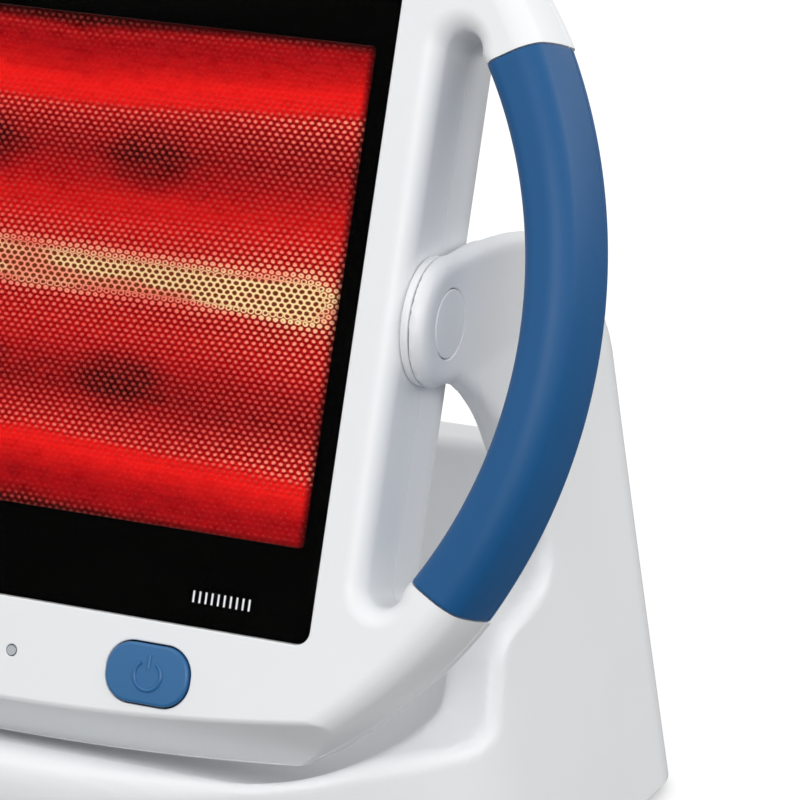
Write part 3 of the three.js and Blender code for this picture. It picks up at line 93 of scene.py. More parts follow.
def mesh_of(name, points, faces):
    mesh = bpy.data.meshes.new(name)
    mesh.from_pydata([tuple(map(float, p)) for p in points], [], faces)
    work = bmesh.new()
    work.from_mesh(mesh)
    bmesh.ops.recalc_face_normals(work, faces=work.faces)
    work.to_mesh(mesh)
    work.free()
    return mesh


def loft(name, rings):
    """A skin through rings of equal count, closed by a face at each end."""
    rings = [np.asarray(ring, dtype=float) for ring in rings]
    count = len(rings[0])
    points = np.concatenate(rings)
    faces = []
    for low in range(0, len(points) - count, count):
        high = low + count
        faces += [(low + i, low + (i + 1) % count, high + (i + 1) % count, high + i) for i in range(count)]
    faces.append(tuple(range(count - 1, -1, -1)))
    faces.append(tuple(len(points) - count + i for i in range(count)))
    return add_piece(name, mesh_of(name, points, faces))


print("ready: pieces, meshes and lofts")

# %% [markdown]
# A modifier could stay on its piece and be edited later. Here each one is applied at once, so the next
# step works on plain mesh, and a cutter is used up by its cut, which leaves nothing lying about.

# %% Helpers that cut, join and mirror
def applied(piece):
    """Turns the modifiers of a piece into plain mesh."""
    bpy.context.view_layer.update()
    depsgraph = bpy.context.evaluated_depsgraph_get()
    mesh = bpy.data.meshes.new_from_object(piece.evaluated_get(depsgraph), depsgraph=depsgraph)
    piece.modifiers.clear()
    spent = piece.data
    piece.data = mesh
    bpy.data.meshes.remove(spent)
    return piece


def drop(piece):
    mesh = piece.data
    bpy.data.objects.remove(piece)
    bpy.data.meshes.remove(mesh)


def combine(body, tool, operation="DIFFERENCE"):
    """Cuts, joins or intersects the body with a closed tool, and uses the tool up."""
    step = body.modifiers.new("combine", "BOOLEAN")
    step.operation = operation
    step.solver = "MANIFOLD"
    step.object = tool
    applied(body)
    drop(tool)
    return body


def joined(name, pieces):
    """One mesh from several bodies that don't touch."""
    work = bmesh.new()
    for piece in pieces:
        work.from_mesh(piece.data)
        drop(piece)
    mesh = bpy.data.meshes.new(name)
    work.to_mesh(mesh)
    work.free()
    return add_piece(name, mesh)


def mirrored(piece, name):
    """The same piece on the other side of the middle."""
    mesh = piece.data.copy()
    mesh.transform(Matrix.Scale(-1, 4, (1, 0, 0)))
    mesh.flip_normals()
    mesh.name = name
    return add_piece(name, mesh)


print("ready: cuts, joined bodies and mirrored pieces")

# %% [markdown]
# A moulded part shades smoothly over its rounds and breaks only at real edges. Weighted normals let the
# large faces lead, so a flat wall stays flat right up to its small round.

# %% Helpers that shade a piece and put it in its place
def finish_shading(piece, angle=32):
    """Smooth faces with crisp edges where two faces meet at more than the angle."""
    work = bmesh.new()
    work.from_mesh(piece.data)
    bmesh.ops.remove_doubles(work, verts=work.verts, dist=1e-4)
    limit = math.radians(angle)
    for face in work.faces:
        face.smooth = True
    for edge in work.edges:
        edge.smooth = len(edge.link_faces) == 2 and edge.calc_face_angle() < limit
    work.to_mesh(piece.data)
    work.free()
    even = piece.modifiers.new("even shading", "WEIGHTED_NORMAL")
    even.keep_sharp = True
    return applied(piece)


def settle(piece, place, material):
    """Puts a finished mesh in its place in the frame, in metres, with its material."""
    piece.data.transform(place)
    piece.data.materials.clear()
    piece.data.materials.append(material)
    return piece


print("ready: shading and places")

# %% [markdown]
# Quarter rounds, round rectangles and turned profiles come back in nearly every piece of the lamp, so
# a handful of short functions draws them. A turned profile needs only half a section, as on a lathe.

# %% Helpers that make outlines
def arc_inset(radius, steps):
    """Depth and inset pairs along a quarter round, from the flat face to the side wall."""
    turns = np.linspace(math.pi / 2, 0, steps)
    return [(radius * (1 - math.sin(t)), radius * (1 - math.cos(t))) for t in turns]


def round_rect(half_width, low, high, corner, depth, steps=10, middle=0.0):
    """Rectangle with round corners, square to the depth."""
    points = []
    centres = [(half_width - corner, low + corner, -90), (half_width - corner, high - corner, 0),
               (-half_width + corner, high - corner, 90), (-half_width + corner, low + corner, 180)]
    for cx, cz, start in centres:
        for turn in np.radians(np.linspace(start, start + 90, steps)):
            points.append((middle + cx + corner * math.cos(turn), depth, cz + corner * math.sin(turn)))
    return points


def lathe(name, profile, sides=96, axis="X", centre=(0, 0), closed=False):
    """A round body from (place along the axis, radius) pairs; closed makes the profile a loop."""
    turns = np.linspace(0, 2 * math.pi, sides, endpoint=False)
    points, rings = [], []
    for along, radius in profile:
        start = len(points)
        ring = turns if radius > 1e-6 else [0.0]
        for turn in ring:
            a, b = centre[0] + radius * math.cos(turn), centre[1] + radius * math.sin(turn)
            points.append({"X": (along, a, b), "Y": (a, along, b), "Z": (a, b, along)}[axis])
        rings.append(range(start, len(points)))
    faces = []
    for low, high in zip(rings, rings[1:] + rings[:1] if closed else rings[1:]):
        for i in range(sides):
            j = (i + 1) % sides
            quad = [low[i % len(low)], low[j % len(low)], high[j % len(high)], high[i % len(high)]]
            unique = list(dict.fromkeys(quad))
            if len(unique) > 2:
                faces.append(unique)
    if not closed:
        faces += [list(ring) for ring in (rings[0], rings[-1]) if len(ring) > 1]
    return add_piece(name, mesh_of(name, points, faces))


def box_piece(name, low, high):
    corners = [(x, y, z) for x in (low[0], high[0]) for y in (low[1], high[1]) for z in (low[2], high[2])]
    faces = [(0, 1, 3, 2), (4, 6, 7, 5), (0, 4, 5, 1), (2, 3, 7, 6), (0, 2, 6, 4), (1, 5, 7, 3)]
    return add_piece(name, mesh_of(name, corners, faces))


print("a quarter round of 1 mm in three steps:", [(round(d, 2), round(i, 2)) for d, i in arc_inset(1.0, 3)])

# %% [markdown]
# ## The head's outline
# Seen from the front the head is a barrel: two big side arcs, and a shallow arch at the top and the
# bottom. Seen from the side it widens from the front face towards the parting plane of its two
# shells. Sculpting it would work too, but the outline follows a rule, so it is computed, and the
# handles, grips and covers then fit each other by themselves.

# %% Sizes and outline of the head
FACE = -19.0                 # front face, ahead of the axis
SEAM = 4.0                   # parting plane of the two shells
SEAM_SLIT = 0.15             # each shell stops this far from the parting plane
WING_BACK = 12.0             # back of the handles
WING_ROUND = 5.0             # round along the back edges of the handles
SHELL_WALL = 3.0             # wall of the head's shells and of the stand
FACE_RADIUS, FACE_HEIGHT, FACE_ARCH = 166.0, 127.2, 704.0
RIM_RADIUS, RIM_HEIGHT, RIM_ARCH = 169.4, 138.2, 900.0
FACE_PULL, RIM_PULL = 1.7, 4.9   # the side arcs draw in by this much as they reach the corners
PULL_START, PULL_POWER = math.radians(29.5), 1.3
SIDE_STEPS, TOP_STEPS, CORNER_STEPS = 96, 48, 5
CORNER_ROUND = 1.0


def head_ring(depth, radius, half_height, arch, pull):
    """The barrel outline at one depth, with its four corners slightly rounded."""
    reach = radius - pull
    bow = 0.5 / arch
    linear = 1 - 2 * bow * half_height
    root = math.sqrt(linear ** 2 - 4 * bow ** 2 * (half_height ** 2 - reach ** 2))
    corner_x = math.sqrt((root - linear) / (2 * bow ** 2))
    corner_turn = math.acos(corner_x / reach)
    turns = np.linspace(-corner_turn, corner_turn, SIDE_STEPS + 1) * (1 - CORNER_ROUND / reach / corner_turn)
    beyond = np.maximum(np.abs(turns) - PULL_START, 0) / (corner_turn - PULL_START)
    arcs = radius - pull * beyond ** PULL_POWER
    side = list(zip(arcs * np.cos(turns), arcs * np.sin(turns)))
    tip = np.array((corner_x, half_height - bow * corner_x ** 2))
    top_x = np.linspace(corner_x - CORNER_ROUND, -corner_x + CORNER_ROUND, TOP_STEPS + 1)
    top = [(x, half_height - bow * x * x) for x in top_x]
    start, end = np.array(side[-1]), np.array(top[0])
    corner = [(1 - s) ** 2 * start + 2 * s * (1 - s) * tip + s ** 2 * end
              for s in np.linspace(0, 1, CORNER_STEPS + 2)[1:-1]]
    left_corner = [(-x, z) for x, z in reversed(corner)]
    half = side + [tuple(p) for p in corner] + top + left_corner
    return [(x, depth, z) for x, z in half] + [(-x, depth, -z) for x, z in half]


print("points round the outline:", len(head_ring(SEAM, RIM_RADIUS, RIM_HEIGHT, RIM_ARCH, RIM_PULL)))

# %% [markdown]
# From the face to the parting plane the outline grows, fast at first and then slowly, which gives the
# head's flank its bow. The front shell and the half handles behind it are lofts through such outlines.

# %% Front and rear forms of the head
EDGE_ROUND, SIDE_ROUND = 1.2, 6.0
SEAM_ROUND = 0.35
FLANK_POWER = 2.4


def flank_share(depth):
    """How far the outline has grown from the face to the parting plane, 0 to 1."""
    share = min(max((depth - FACE) / (SEAM - FACE), 0.0), 1.0)
    return 1 - (1 - share) ** FLANK_POWER


def flank_ring(depth, inset=0.0, top_inset=None):
    """The outline at one depth; the inset holds for the sides, and for the top where none is given."""
    top_inset = inset if top_inset is None else top_inset
    radius = FACE_RADIUS + (RIM_RADIUS - FACE_RADIUS) * flank_share(depth) - inset
    along = (depth - FACE) / (SEAM - FACE)
    height = FACE_HEIGHT + (RIM_HEIGHT - FACE_HEIGHT) * along - top_inset
    arch = FACE_ARCH + (RIM_ARCH - FACE_ARCH) * along
    return head_ring(depth, radius, height, arch, FACE_PULL + (RIM_PULL - FACE_PULL) * along)


def round_inset(depth, radius):
    """How far a round of this radius stands in at a depth below its face."""
    return radius - math.sqrt(radius ** 2 - max(radius - depth, 0) ** 2)


def seam_rounds(plane, towards):
    """Rings of the small round where a shell ends at the parting plane."""
    steps = [(SEAM_ROUND * (1 - s), SEAM_ROUND * (1 - math.sqrt(1 - s * s))) for s in (0, 0.5, 0.85, 1)]
    return [flank_ring(plane - towards * back, inset) for back, inset in steps]


def front_form(name):
    """The front shell as a solid, with a small round along the face and a larger one at the sides."""
    depths = [depth for depth, _ in arc_inset(EDGE_ROUND, 7)]
    depths += [EDGE_ROUND + depth for depth, _ in arc_inset(SIDE_ROUND - EDGE_ROUND, 6)[1:]]
    rings = [flank_ring(FACE + depth, round_inset(depth, SIDE_ROUND), round_inset(depth, EDGE_ROUND))
             for depth in depths]
    rings += [flank_ring(depth) for depth in np.linspace(FACE + SIDE_ROUND, SEAM - 1, 12)[1:]]
    rings += seam_rounds(SEAM - SEAM_SLIT, 1)
    return loft(name, rings)


def wing_form(name):
    """The rear half of the handles as a solid plate."""
    rings = list(reversed(seam_rounds(SEAM + SEAM_SLIT, -1)))
    for depth, inset in reversed(arc_inset(WING_ROUND, 9)):
        rings.append(head_ring(WING_BACK - depth, RIM_RADIUS - inset, RIM_HEIGHT - inset, RIM_ARCH,
                               RIM_PULL))
    return loft(name, rings)


print("head at the parting plane:", 2 * RIM_RADIUS, "mm wide,", 2 * RIM_HEIGHT, "mm high")

# %% [markdown]
# ## Finger gaps
# A banana-shaped gap on each side parts the handle from the head's side wall. The front face rolls
# into it with a large soft round, so the cutter is a loft that flares out towards the front.

# %% Cutter of a finger gap
SIDE_WALL = 117.0
HANDLE_CENTRE, HANDLE_INSIDE = 15.2, 137.0
GAP_HEIGHT, GAP_END = 77.0, 6.0
WALL_ROLL, HANDLE_ROLL = 6.5, 4.5


def gap_ring(depth, wall, handle):
    """Outline of the right gap; wall and handle say how far its two sides have moved out."""
    inside = SIDE_WALL - wall
    reach = HANDLE_INSIDE + handle

    def arc_at(z):
        return HANDLE_CENTRE + math.sqrt(reach * reach - z * z)

    middle, half = (inside + arc_at(GAP_HEIGHT)) / 2, (arc_at(GAP_HEIGHT) - inside) / 2
    turns = np.linspace(0, math.pi, 21)
    end = [(middle + half * math.cos(t), GAP_HEIGHT + (GAP_END + wall) * math.sin(t)) for t in turns]
    ring = end + [(x, -z) for x, z in reversed(end)]
    ring += [(arc_at(z), z) for z in np.linspace(-GAP_HEIGHT, GAP_HEIGHT, 62)[1:-1]]
    return [(x, depth, z) for x, z in ring]


def gap_cutter(name):
    rings = [gap_ring(FACE - 2, WALL_ROLL, HANDLE_ROLL)]
    for depth, inset in arc_inset(1.0, 11):
        rings.append(gap_ring(FACE + depth * WALL_ROLL, inset * WALL_ROLL, inset * HANDLE_ROLL))
    for depth, inset in reversed(arc_inset(WING_ROUND, 9)):
        rings.append(gap_ring(WING_BACK - depth, 0, inset))
    rings.append(gap_ring(WING_BACK + 2, 0, WING_ROUND))
    return loft(name, rings)


print("finger gap at its widest:", round(HANDLE_CENTRE + HANDLE_INSIDE - SIDE_WALL, 1), "mm")

# %% [markdown]
# ## Grips
# The grips are sleeves pressed round the middle of each handle, with a fine open joint at their
# ends and along the parting plane. A section swept along the handle gives every edge its round,
# which a boolean cut could not. The same sweep, made larger, cuts the seat out of the white shells.

# %% Outer skins of a grip
GRIP_TURN = math.radians(29.5)
GRIP_GAP = 0.3
GRIP_WALL = 2.3
CORE_WALL = 2.6
GRIP_EDGE = 6.0
GRIP_BACK_ROUND = 7.4
GRIP_END_ROUND = 0.6
GRIP_REACH, ROUND_REACH = 155.0, 160.0          # distances from the middle that turn mm into angles
SEAM_CORNER = [(0.3, 0.0), (0.08, 0.1), (0.0, 0.35)]   # inset and depth of the small round at the seam


def handle_inside(turn):
    """Distance from the middle of the head to the handle's inner side, in one direction."""
    off = HANDLE_CENTRE * math.sin(turn)
    return HANDLE_CENTRE * math.cos(turn) + math.sqrt(HANDLE_INSIDE ** 2 - off ** 2)


def handle_outside(depth):
    return FACE_RADIUS + (RIM_RADIUS - FACE_RADIUS) * flank_share(depth)


def front_section(turn):
    """Outer skin of the front half, from the inner seam over the front to the outer seam."""
    inside, seam = handle_inside(turn), SEAM - SEAM_SLIT
    skin = [(inside + inset, seam - deep) for inset, deep in SEAM_CORNER]
    skin += [(inside, depth) for depth in np.linspace(seam - 4, FACE + WALL_ROLL, 4)]
    skin += [(inside + HANDLE_ROLL * (1 - math.cos(t)), FACE + WALL_ROLL * (1 - math.sin(t)))
             for t in np.linspace(0, math.pi / 2, 11)[1:]]
    face_end = handle_outside(FACE) - GRIP_EDGE + 0.4
    for share in np.linspace(0, 1, 6)[1:-1]:
        skin.append((inside + HANDLE_ROLL + (face_end - inside - HANDLE_ROLL) * share, FACE))
    for t in np.linspace(math.pi / 2, 0, 12):
        depth = FACE + GRIP_EDGE * (1 - math.sin(t))
        skin.append((handle_outside(depth) - GRIP_EDGE * (1 - math.cos(t)), depth))
    skin += [(handle_outside(depth), depth) for depth in np.linspace(FACE + GRIP_EDGE, seam - 0.4, 10)[1:]]
    skin += [(RIM_RADIUS - inset, seam - deep) for inset, deep in reversed(SEAM_CORNER[:2])]
    return skin


def rear_section(turn):
    """Outer skin of the rear half, from the outer seam over the back to the inner seam."""
    inside, seam, back_round = handle_inside(turn), SEAM + SEAM_SLIT, GRIP_BACK_ROUND
    skin = [(RIM_RADIUS - inset, seam + deep) for inset, deep in SEAM_CORNER]
    skin += [(RIM_RADIUS - back_round * (1 - math.cos(t)), WING_BACK - back_round * (1 - math.sin(t)))
             for t in np.linspace(0, math.pi / 2, 14)]
    skin += [(inside + WING_ROUND * (1 - math.cos(t)), WING_BACK - WING_ROUND * (1 - math.sin(t)))
             for t in np.linspace(math.pi / 2, 0, 11)]
    skin += [(inside + inset, seam + deep) for inset, deep in reversed(SEAM_CORNER)]
    return skin


print("points on a skin:", len(front_section(0.0)), "in front,", len(rear_section(0.0)), "behind")

# %% [markdown]
# A sleeve is hollow, as it is pushed over a white core. Its inner side is square and its wall a little
# over two millimetres; nobody sees it, so it has no rounds.

# %% Whole sections of a grip
def hollow_section(turn, half):
    """Inner side of a sleeve, walked back from the end of its skin to the start."""
    inside, outside = handle_inside(turn) + GRIP_WALL, FACE_RADIUS - GRIP_WALL
    if half == "front":
        seam, bottom = SEAM - SEAM_SLIT, FACE + GRIP_WALL
        return [(outside, seam), (outside, bottom), (inside, bottom), (inside, seam)]
    seam, bottom = SEAM + SEAM_SLIT, WING_BACK - GRIP_WALL
    return [(inside, seam), (inside, bottom), (outside, bottom), (outside, seam)]


def section_at(turn, half, shrink):
    """Closed section; shrink moves the outer skin inwards for the round at the grip's ends."""
    skin = np.array(front_section(turn) if half == "front" else rear_section(turn))
    along = np.gradient(skin, axis=0)
    normal = np.stack([-along[:, 1], along[:, 0]], axis=1)
    normal /= np.linalg.norm(normal, axis=1)[:, None]
    middle = skin.mean(axis=0)
    normal *= np.sign(np.einsum("ij,ij->i", skin - middle, normal))[:, None]
    return np.concatenate([skin - normal * shrink, hollow_section(turn, half)])


print("points round a section:", len(section_at(0.0, "front", 0)), "and", len(section_at(0.0, "rear", 0)))

# %% [markdown]
# The sections are set along the handle like ribs in a boat. At both ends of a sleeve they shrink over
# little more than half a millimetre, which is the round on its end.

# %% Grip sleeves and the cutter of their seat
def along_handle(section, turn):
    return [(r * math.cos(turn), depth, r * math.sin(turn)) for r, depth in section]


def grip(name, half):
    """Sections from one end to the other; the rounds at the ends are turned from mm into angles."""
    end = GRIP_TURN - GRIP_GAP / GRIP_REACH
    round_turns = [(along / ROUND_REACH, shrink) for along, shrink in arc_inset(GRIP_END_ROUND, 5)]
    stops = [(-end + a, s) for a, s in round_turns]
    stops += [(t, 0) for t in np.linspace(-end + 0.01, end - 0.01, 65)]
    stops += [(end - a, s) for a, s in reversed(round_turns)]
    return loft(name, [along_handle(section_at(t, half, s), t) for t, s in stops])


def grip_seat(name, half):
    """Cutter of the seat: everything outside the core that stays white under the grip."""
    rings = []
    for turn in np.linspace(-GRIP_TURN, GRIP_TURN, 65):
        inside, outside = handle_inside(turn) + CORE_WALL, FACE_RADIUS - CORE_WALL
        if half == "front":
            near, deep, core = SEAM + 3, FACE - 3, FACE + CORE_WALL
        else:
            near, deep, core = SEAM - 3, WING_BACK + 3, WING_BACK - CORE_WALL
        section = [(inside, near), (inside, core), (outside, core), (outside, near), (RIM_RADIUS + 4, near),
                   (RIM_RADIUS + 4, deep), (inside - 6, deep), (inside - 6, near)]
        rings.append(along_handle(section, turn))
    return loft(name, rings)


grip_front_right = grip("grip_sleeve_front_right", "front")
grip_rear_right = grip("grip_sleeve_rear_right", "rear")
grip_front_left = mirrored(grip_front_right, "grip_sleeve_front_left")
grip_rear_left = mirrored(grip_rear_right, "grip_sleeve_rear_left")
for sleeve in (grip_front_right, grip_rear_right):
    print(sleeve.name, len(sleeve.data.polygons), "faces")

# %% [markdown]
# ## Front casing
# The front shell holds the glass in a shallow seat and carries two buttons and three small lights
# in its lower band. Each cutter widens a little at the face, which leaves a fine moulded round
# round every opening.

# %% Openings of the front casing
GLASS_WIDTH, GLASS_LOW, GLASS_HIGH, GLASS_CORNER = 103.0, 97.1, 99.5, 4.0
WINDOW_WIDTH, WINDOW_LOW, WINDOW_HIGH = 95.8, 70.1, 75.8
BUTTON_OUT, BUTTON_DOWN = 54.3, 113.0
BUTTON_WIDTH, BUTTON_HEIGHT, BUTTON_CORNER, BUTTON_SLIT = 13.3, 8.8, 8.0, 0.45
LIGHT_PLACES = (-9.0, 0.0, 9.0)
HUB_BORE, BORE_END = 12.3, 125.0


def flared_cutter(name, outline, back, flare):
    """A cutter from ahead of the face to a depth, widened by a small round at the face."""
    rings = [outline(FACE - 1, flare)]
    rings += [outline(FACE + depth, inset) for depth, inset in arc_inset(flare, 5)]
    rings.append(outline(back, 0))
    return loft(name, rings)


def glass_ring(depth, grow):
    return round_rect(GLASS_WIDTH + grow, -GLASS_LOW - grow, GLASS_HIGH + grow, GLASS_CORNER + grow, depth)


def window_ring(depth, grow):
    return round_rect(WINDOW_WIDTH + grow, -WINDOW_LOW - grow, WINDOW_HIGH + grow, 1.5 + grow, depth, 6)


def button_ring(depth, grow, side=1):
    return round_rect(BUTTON_WIDTH + grow, -BUTTON_DOWN - BUTTON_HEIGHT - grow,
                      -BUTTON_DOWN + BUTTON_HEIGHT + grow, BUTTON_CORNER + grow, depth, 14, side * BUTTON_OUT)


def tub_ring(depth, half_width, half_height, corner, steps=12):
    """Straight sides, arched top and bottom and round corners, for the cover and the cavity."""
    bow = 0.5 / RIM_ARCH
    inner = half_width - corner
    end = half_height - bow * inner * inner
    right = [(inner + corner * math.cos(t), end - corner + corner * math.sin(t))
             for t in np.linspace(0, math.pi / 2, steps)]
    top = [(x, half_height - bow * x * x) for x in np.linspace(inner, -inner, 40)[1:-1]]
    half = right + top + [(-x, z) for x, z in reversed(right)]
    return [(x, depth, z) for x, z in half] + [(-x, depth, -z) for x, z in half]


print("glass seat:", 2 * GLASS_WIDTH, "mm wide; window:", 2 * WINDOW_WIDTH, "mm wide")

# %% [markdown]
# The real casing is one moulding with walls of about three millimetres. It is cut here in the order a
# tool maker would think of it: finger gaps, seats of the grips, the cavity, then the openings.

# %% Front casing
GLASS_SEAT, SEAT_DEPTH = 0.3, -13.1      # play round the glass, and the plane behind it
LEDGE_WIDTH, LEDGE_BACK = 106.0, -10.5   # ledge that carries the glass
ARCH_WALL = 3.3                          # wall at the top and bottom arch
HOLE_FLARE, HOLE_BACK = 0.5, -14.0
TUB_CORNER = 30.0
WINDOW_PLAY = 1.6
LIGHT_HOLE = [(FACE - 1, 2.1), (FACE, 2.1), (FACE + 0.15, 1.9), (FACE + 0.3, 1.8), (HOLE_BACK, 1.8)]


def front_casing():
    shell = front_form("head_front_casing")
    gap = gap_cutter("gap")
    seat = grip_seat("seat", "front")
    for cutter in (mirrored(gap, "gap_left"), gap, mirrored(seat, "seat_left"), seat):
        combine(shell, cutter)
    inside = SIDE_WALL - SHELL_WALL
    hollow = loft("hollow", [tub_ring(FACE + SHELL_WALL, inside, FACE_HEIGHT - ARCH_WALL, TUB_CORNER),
                             tub_ring(SEAM + 1, inside, RIM_HEIGHT - ARCH_WALL, TUB_CORNER)])
    combine(hollow, box_piece("ledge", (-LEDGE_WIDTH, FACE, -GLASS_LOW - SHELL_WALL),
                              (LEDGE_WIDTH, LEDGE_BACK, GLASS_HIGH + SHELL_WALL)))
    combine(shell, hollow)
    seat_ring = lambda depth, grow: glass_ring(depth, grow + GLASS_SEAT)
    combine(shell, flared_cutter("glass_seat", seat_ring, SEAT_DEPTH, HOLE_FLARE))
    combine(shell, loft("window", [window_ring(-15, WINDOW_PLAY), window_ring(-9, WINDOW_PLAY)]))
    combine(shell, lathe("bore", [(-BORE_END, HUB_BORE), (BORE_END, HUB_BORE)]))
    for side in (-1, 1):
        outline = lambda depth, grow, side=side: button_ring(depth, grow + BUTTON_SLIT, side)
        combine(shell, flared_cutter("button_hole", outline, HOLE_BACK, HOLE_FLARE))
    for place in LIGHT_PLACES:
        combine(shell, lathe("light_hole", LIGHT_HOLE, 32, "Y", (place, -BUTTON_DOWN)))
    return shell


front = front_casing()
print("front casing:", len(front.data.polygons), "faces")

# %% [markdown]
# ## Repeated forms
# Vent slots, screws, feet, the ticks on the glass and the dimples of the red pane all repeat. Geometry
# Nodes place them: one body is made once and set on many points. Each tree has its sizes as named
# inputs, and its result is turned into plain mesh.

# %% Helpers for node trees
SOCKETS = {"number": "NodeSocketFloat", "count": "NodeSocketInt", "body": "NodeSocketObject",
           "finish": "NodeSocketMaterial"}


def geometry_tree(name, inputs):
    """An empty tree with a geometry in and out, and named inputs."""
    tree = bpy.data.node_groups.new(name, "GeometryNodeTree")
    tree.is_modifier = True
    tree.interface.new_socket("Geometry", in_out="INPUT", socket_type="NodeSocketGeometry")
    for label, kind in inputs:
        tree.interface.new_socket(label, in_out="INPUT", socket_type=SOCKETS[kind])
    tree.interface.new_socket("Geometry", in_out="OUTPUT", socket_type="NodeSocketGeometry")
    return tree, tree.nodes.new("NodeGroupInput")


def wire(tree, kind, settings=None, **inputs):
    """Adds a node, and gives each input a value or a socket to take it from."""
    node = tree.nodes.new(kind)
    for field, value in (settings or {}).items():
        setattr(node, field, value)
    for label, value in inputs.items():
        plain = label.replace("_", " ")
        socket = node.inputs[int(label[1:])] if label[1:].isdigit() else node.inputs[plain]
        if isinstance(value, bpy.types.NodeSocket):
            tree.links.new(value, socket)
        else:
            socket.default_value = value
    return node


def math_node(tree, operation, a, b=0.0, c=0.0, clamp=False):
    node = wire(tree, "ShaderNodeMath", {"operation": operation, "use_clamp": clamp}, _0=a, _1=b, _2=c)
    return node.outputs[0]


def end_tree(tree, instances, finish):
    """Every tree ends with real mesh and its material."""
    real = wire(tree, "GeometryNodeRealizeInstances", Geometry=instances)
    dressed = wire(tree, "GeometryNodeSetMaterial", Geometry=real.outputs[0], Material=finish)
    wire(tree, "NodeGroupOutput", Geometry=dressed.outputs[0])


def grow(name, tree, values, points=()):
    """Runs a tree on some points and keeps its result as plain mesh."""
    mesh = bpy.data.meshes.new(name)
    mesh.from_pydata([tuple(map(float, p)) for p in points], [], [])
    piece = add_piece(name, mesh)
    step = piece.modifiers.new("grow", "NODES")
    step.node_group = tree
    keys = {item.name: item.identifier for item in tree.interface.items_tree if item.in_out == "INPUT"}
    for label, value in values.items():
        step[keys[label]] = value
    return applied(piece)


print("kinds of named inputs:", ", ".join(SOCKETS))

# %% [markdown]
# The first tree scatters a body over a list of places. It serves the screws, the feet and the ticks on
# the glass. Each copy may be turned by chance, since real screws stop where they are tight.

# %% Tree that scatters a body
UNFINISHED = bpy.data.materials.new("unfinished")


def scatter_tree():
    """One body on every point, turned about its own depth by a seeded random angle."""
    tree, given = geometry_tree("scatter", [("Body", "body"), ("Turn", "number"), ("Seed", "count"),
                                            ("Finish", "finish")])
    body = wire(tree, "GeometryNodeObjectInfo", Object=given.outputs["Body"])
    angle = wire(tree, "FunctionNodeRandomValue", {"data_type": "FLOAT"}, _2=0.0, _3=given.outputs["Turn"],
                 Seed=given.outputs["Seed"])
    turn = wire(tree, "ShaderNodeCombineXYZ", Y=angle.outputs[1])
    placed = wire(tree, "GeometryNodeInstanceOnPoints", Points=given.outputs["Geometry"],
                  Instance=body.outputs["Geometry"], Rotation=turn.outputs[0])
    end_tree(tree, placed.outputs[0], given.outputs["Finish"])
    return tree


SCATTER = scatter_tree()


def scattered(name, body, places, turn, seed):
    """One mesh with a copy of the body on every place, still to be given its own finish."""
    values = {"Body": body, "Turn": turn, "Seed": seed, "Finish": UNFINISHED}
    piece = grow(name, SCATTER, values, places)
    drop(body)
    return piece


print("tree:", SCATTER.name, "with", len(SCATTER.nodes), "nodes")

# %% [markdown]
# The second tree makes a row of slots with round ends. Straight rows let the warm air out; where the
# length follows a circle the same tree makes the fan's grille, so the two kinds match.

# %% Tree that makes a row of slots
def slot_tree():
    """A row of slot cutters across the depth, each narrower towards the inside of the wall."""
    tree, given = geometry_tree("slot_row", [("Count", "count"), ("Pitch", "number"),
                                             ("Half length", "number"), ("Half height", "number"),
                                             ("Flare", "number"), ("Depth", "number"),
                                             ("Circle", "number"), ("Finish", "finish")])
    size = given.outputs
    line = wire(tree, "GeometryNodeMeshLine", {"mode": "OFFSET"}, Count=size["Count"],
                Offset=wire(tree, "ShaderNodeCombineXYZ", Z=size["Pitch"]).outputs[0])
    wide = math_node(tree, "ADD", size["Half height"], size["Flare"])
    cone = wire(tree, "GeometryNodeMeshCone", {"fill_type": "NGON"}, Vertices=16,
                Radius_Top=size["Half height"], Radius_Bottom=wide, Depth=size["Depth"])
    out = math_node(tree, "SUBTRACT", size["Half length"], size["Half height"])
    both = tree.nodes.new("GeometryNodeJoinGeometry")
    for sign in (1.0, -1.0):
        place = wire(tree, "ShaderNodeCombineXYZ", X=math_node(tree, "MULTIPLY", out, sign))
        end = wire(tree, "GeometryNodeTransform", Geometry=cone.outputs["Mesh"],
                   Translation=place.outputs[0], Rotation=(math.pi / 2, 0, 0))
        tree.links.new(end.outputs[0], both.inputs[0])
    slot = wire(tree, "GeometryNodeConvexHull", Geometry=both.outputs[0])
    # A slot's length follows a circle about the middle of the row where Circle is above zero
    split = wire(tree, "ShaderNodeSeparateXYZ", Vector=tree.nodes.new("GeometryNodeInputPosition").outputs[0])
    span = math_node(tree, "MULTIPLY", math_node(tree, "SUBTRACT", size["Count"], 1.0), size["Pitch"])
    off = math_node(tree, "SUBTRACT", split.outputs["Z"], math_node(tree, "MULTIPLY", span, 0.5))
    share = math_node(tree, "DIVIDE", off, size["Half length"])
    bend = math_node(tree, "MULTIPLY", share, size["Circle"])
    rest = math_node(tree, "SUBTRACT", 1.0, math_node(tree, "MULTIPLY", bend, bend))
    scale = wire(tree, "ShaderNodeCombineXYZ", X=math_node(tree, "SQRT", rest), Y=1.0, Z=1.0)
    placed = wire(tree, "GeometryNodeInstanceOnPoints", Points=line.outputs["Mesh"], Instance=slot.outputs[0],
                  Scale=scale.outputs[0])
    end_tree(tree, placed.outputs[0], size["Finish"])
    return tree


SLOTS = slot_tree()
print("tree:", SLOTS.name, "with", len(SLOTS.nodes), "nodes")

# %% [markdown]
# ## Rear cover
# The rear shell closes the handles and swells into a tub for the lamp, its shield and the fan. Warm
# air leaves through a row of slots near the top, and the fan draws in air through a round grille
# below. Their number and size follow what a 300 W head needs.

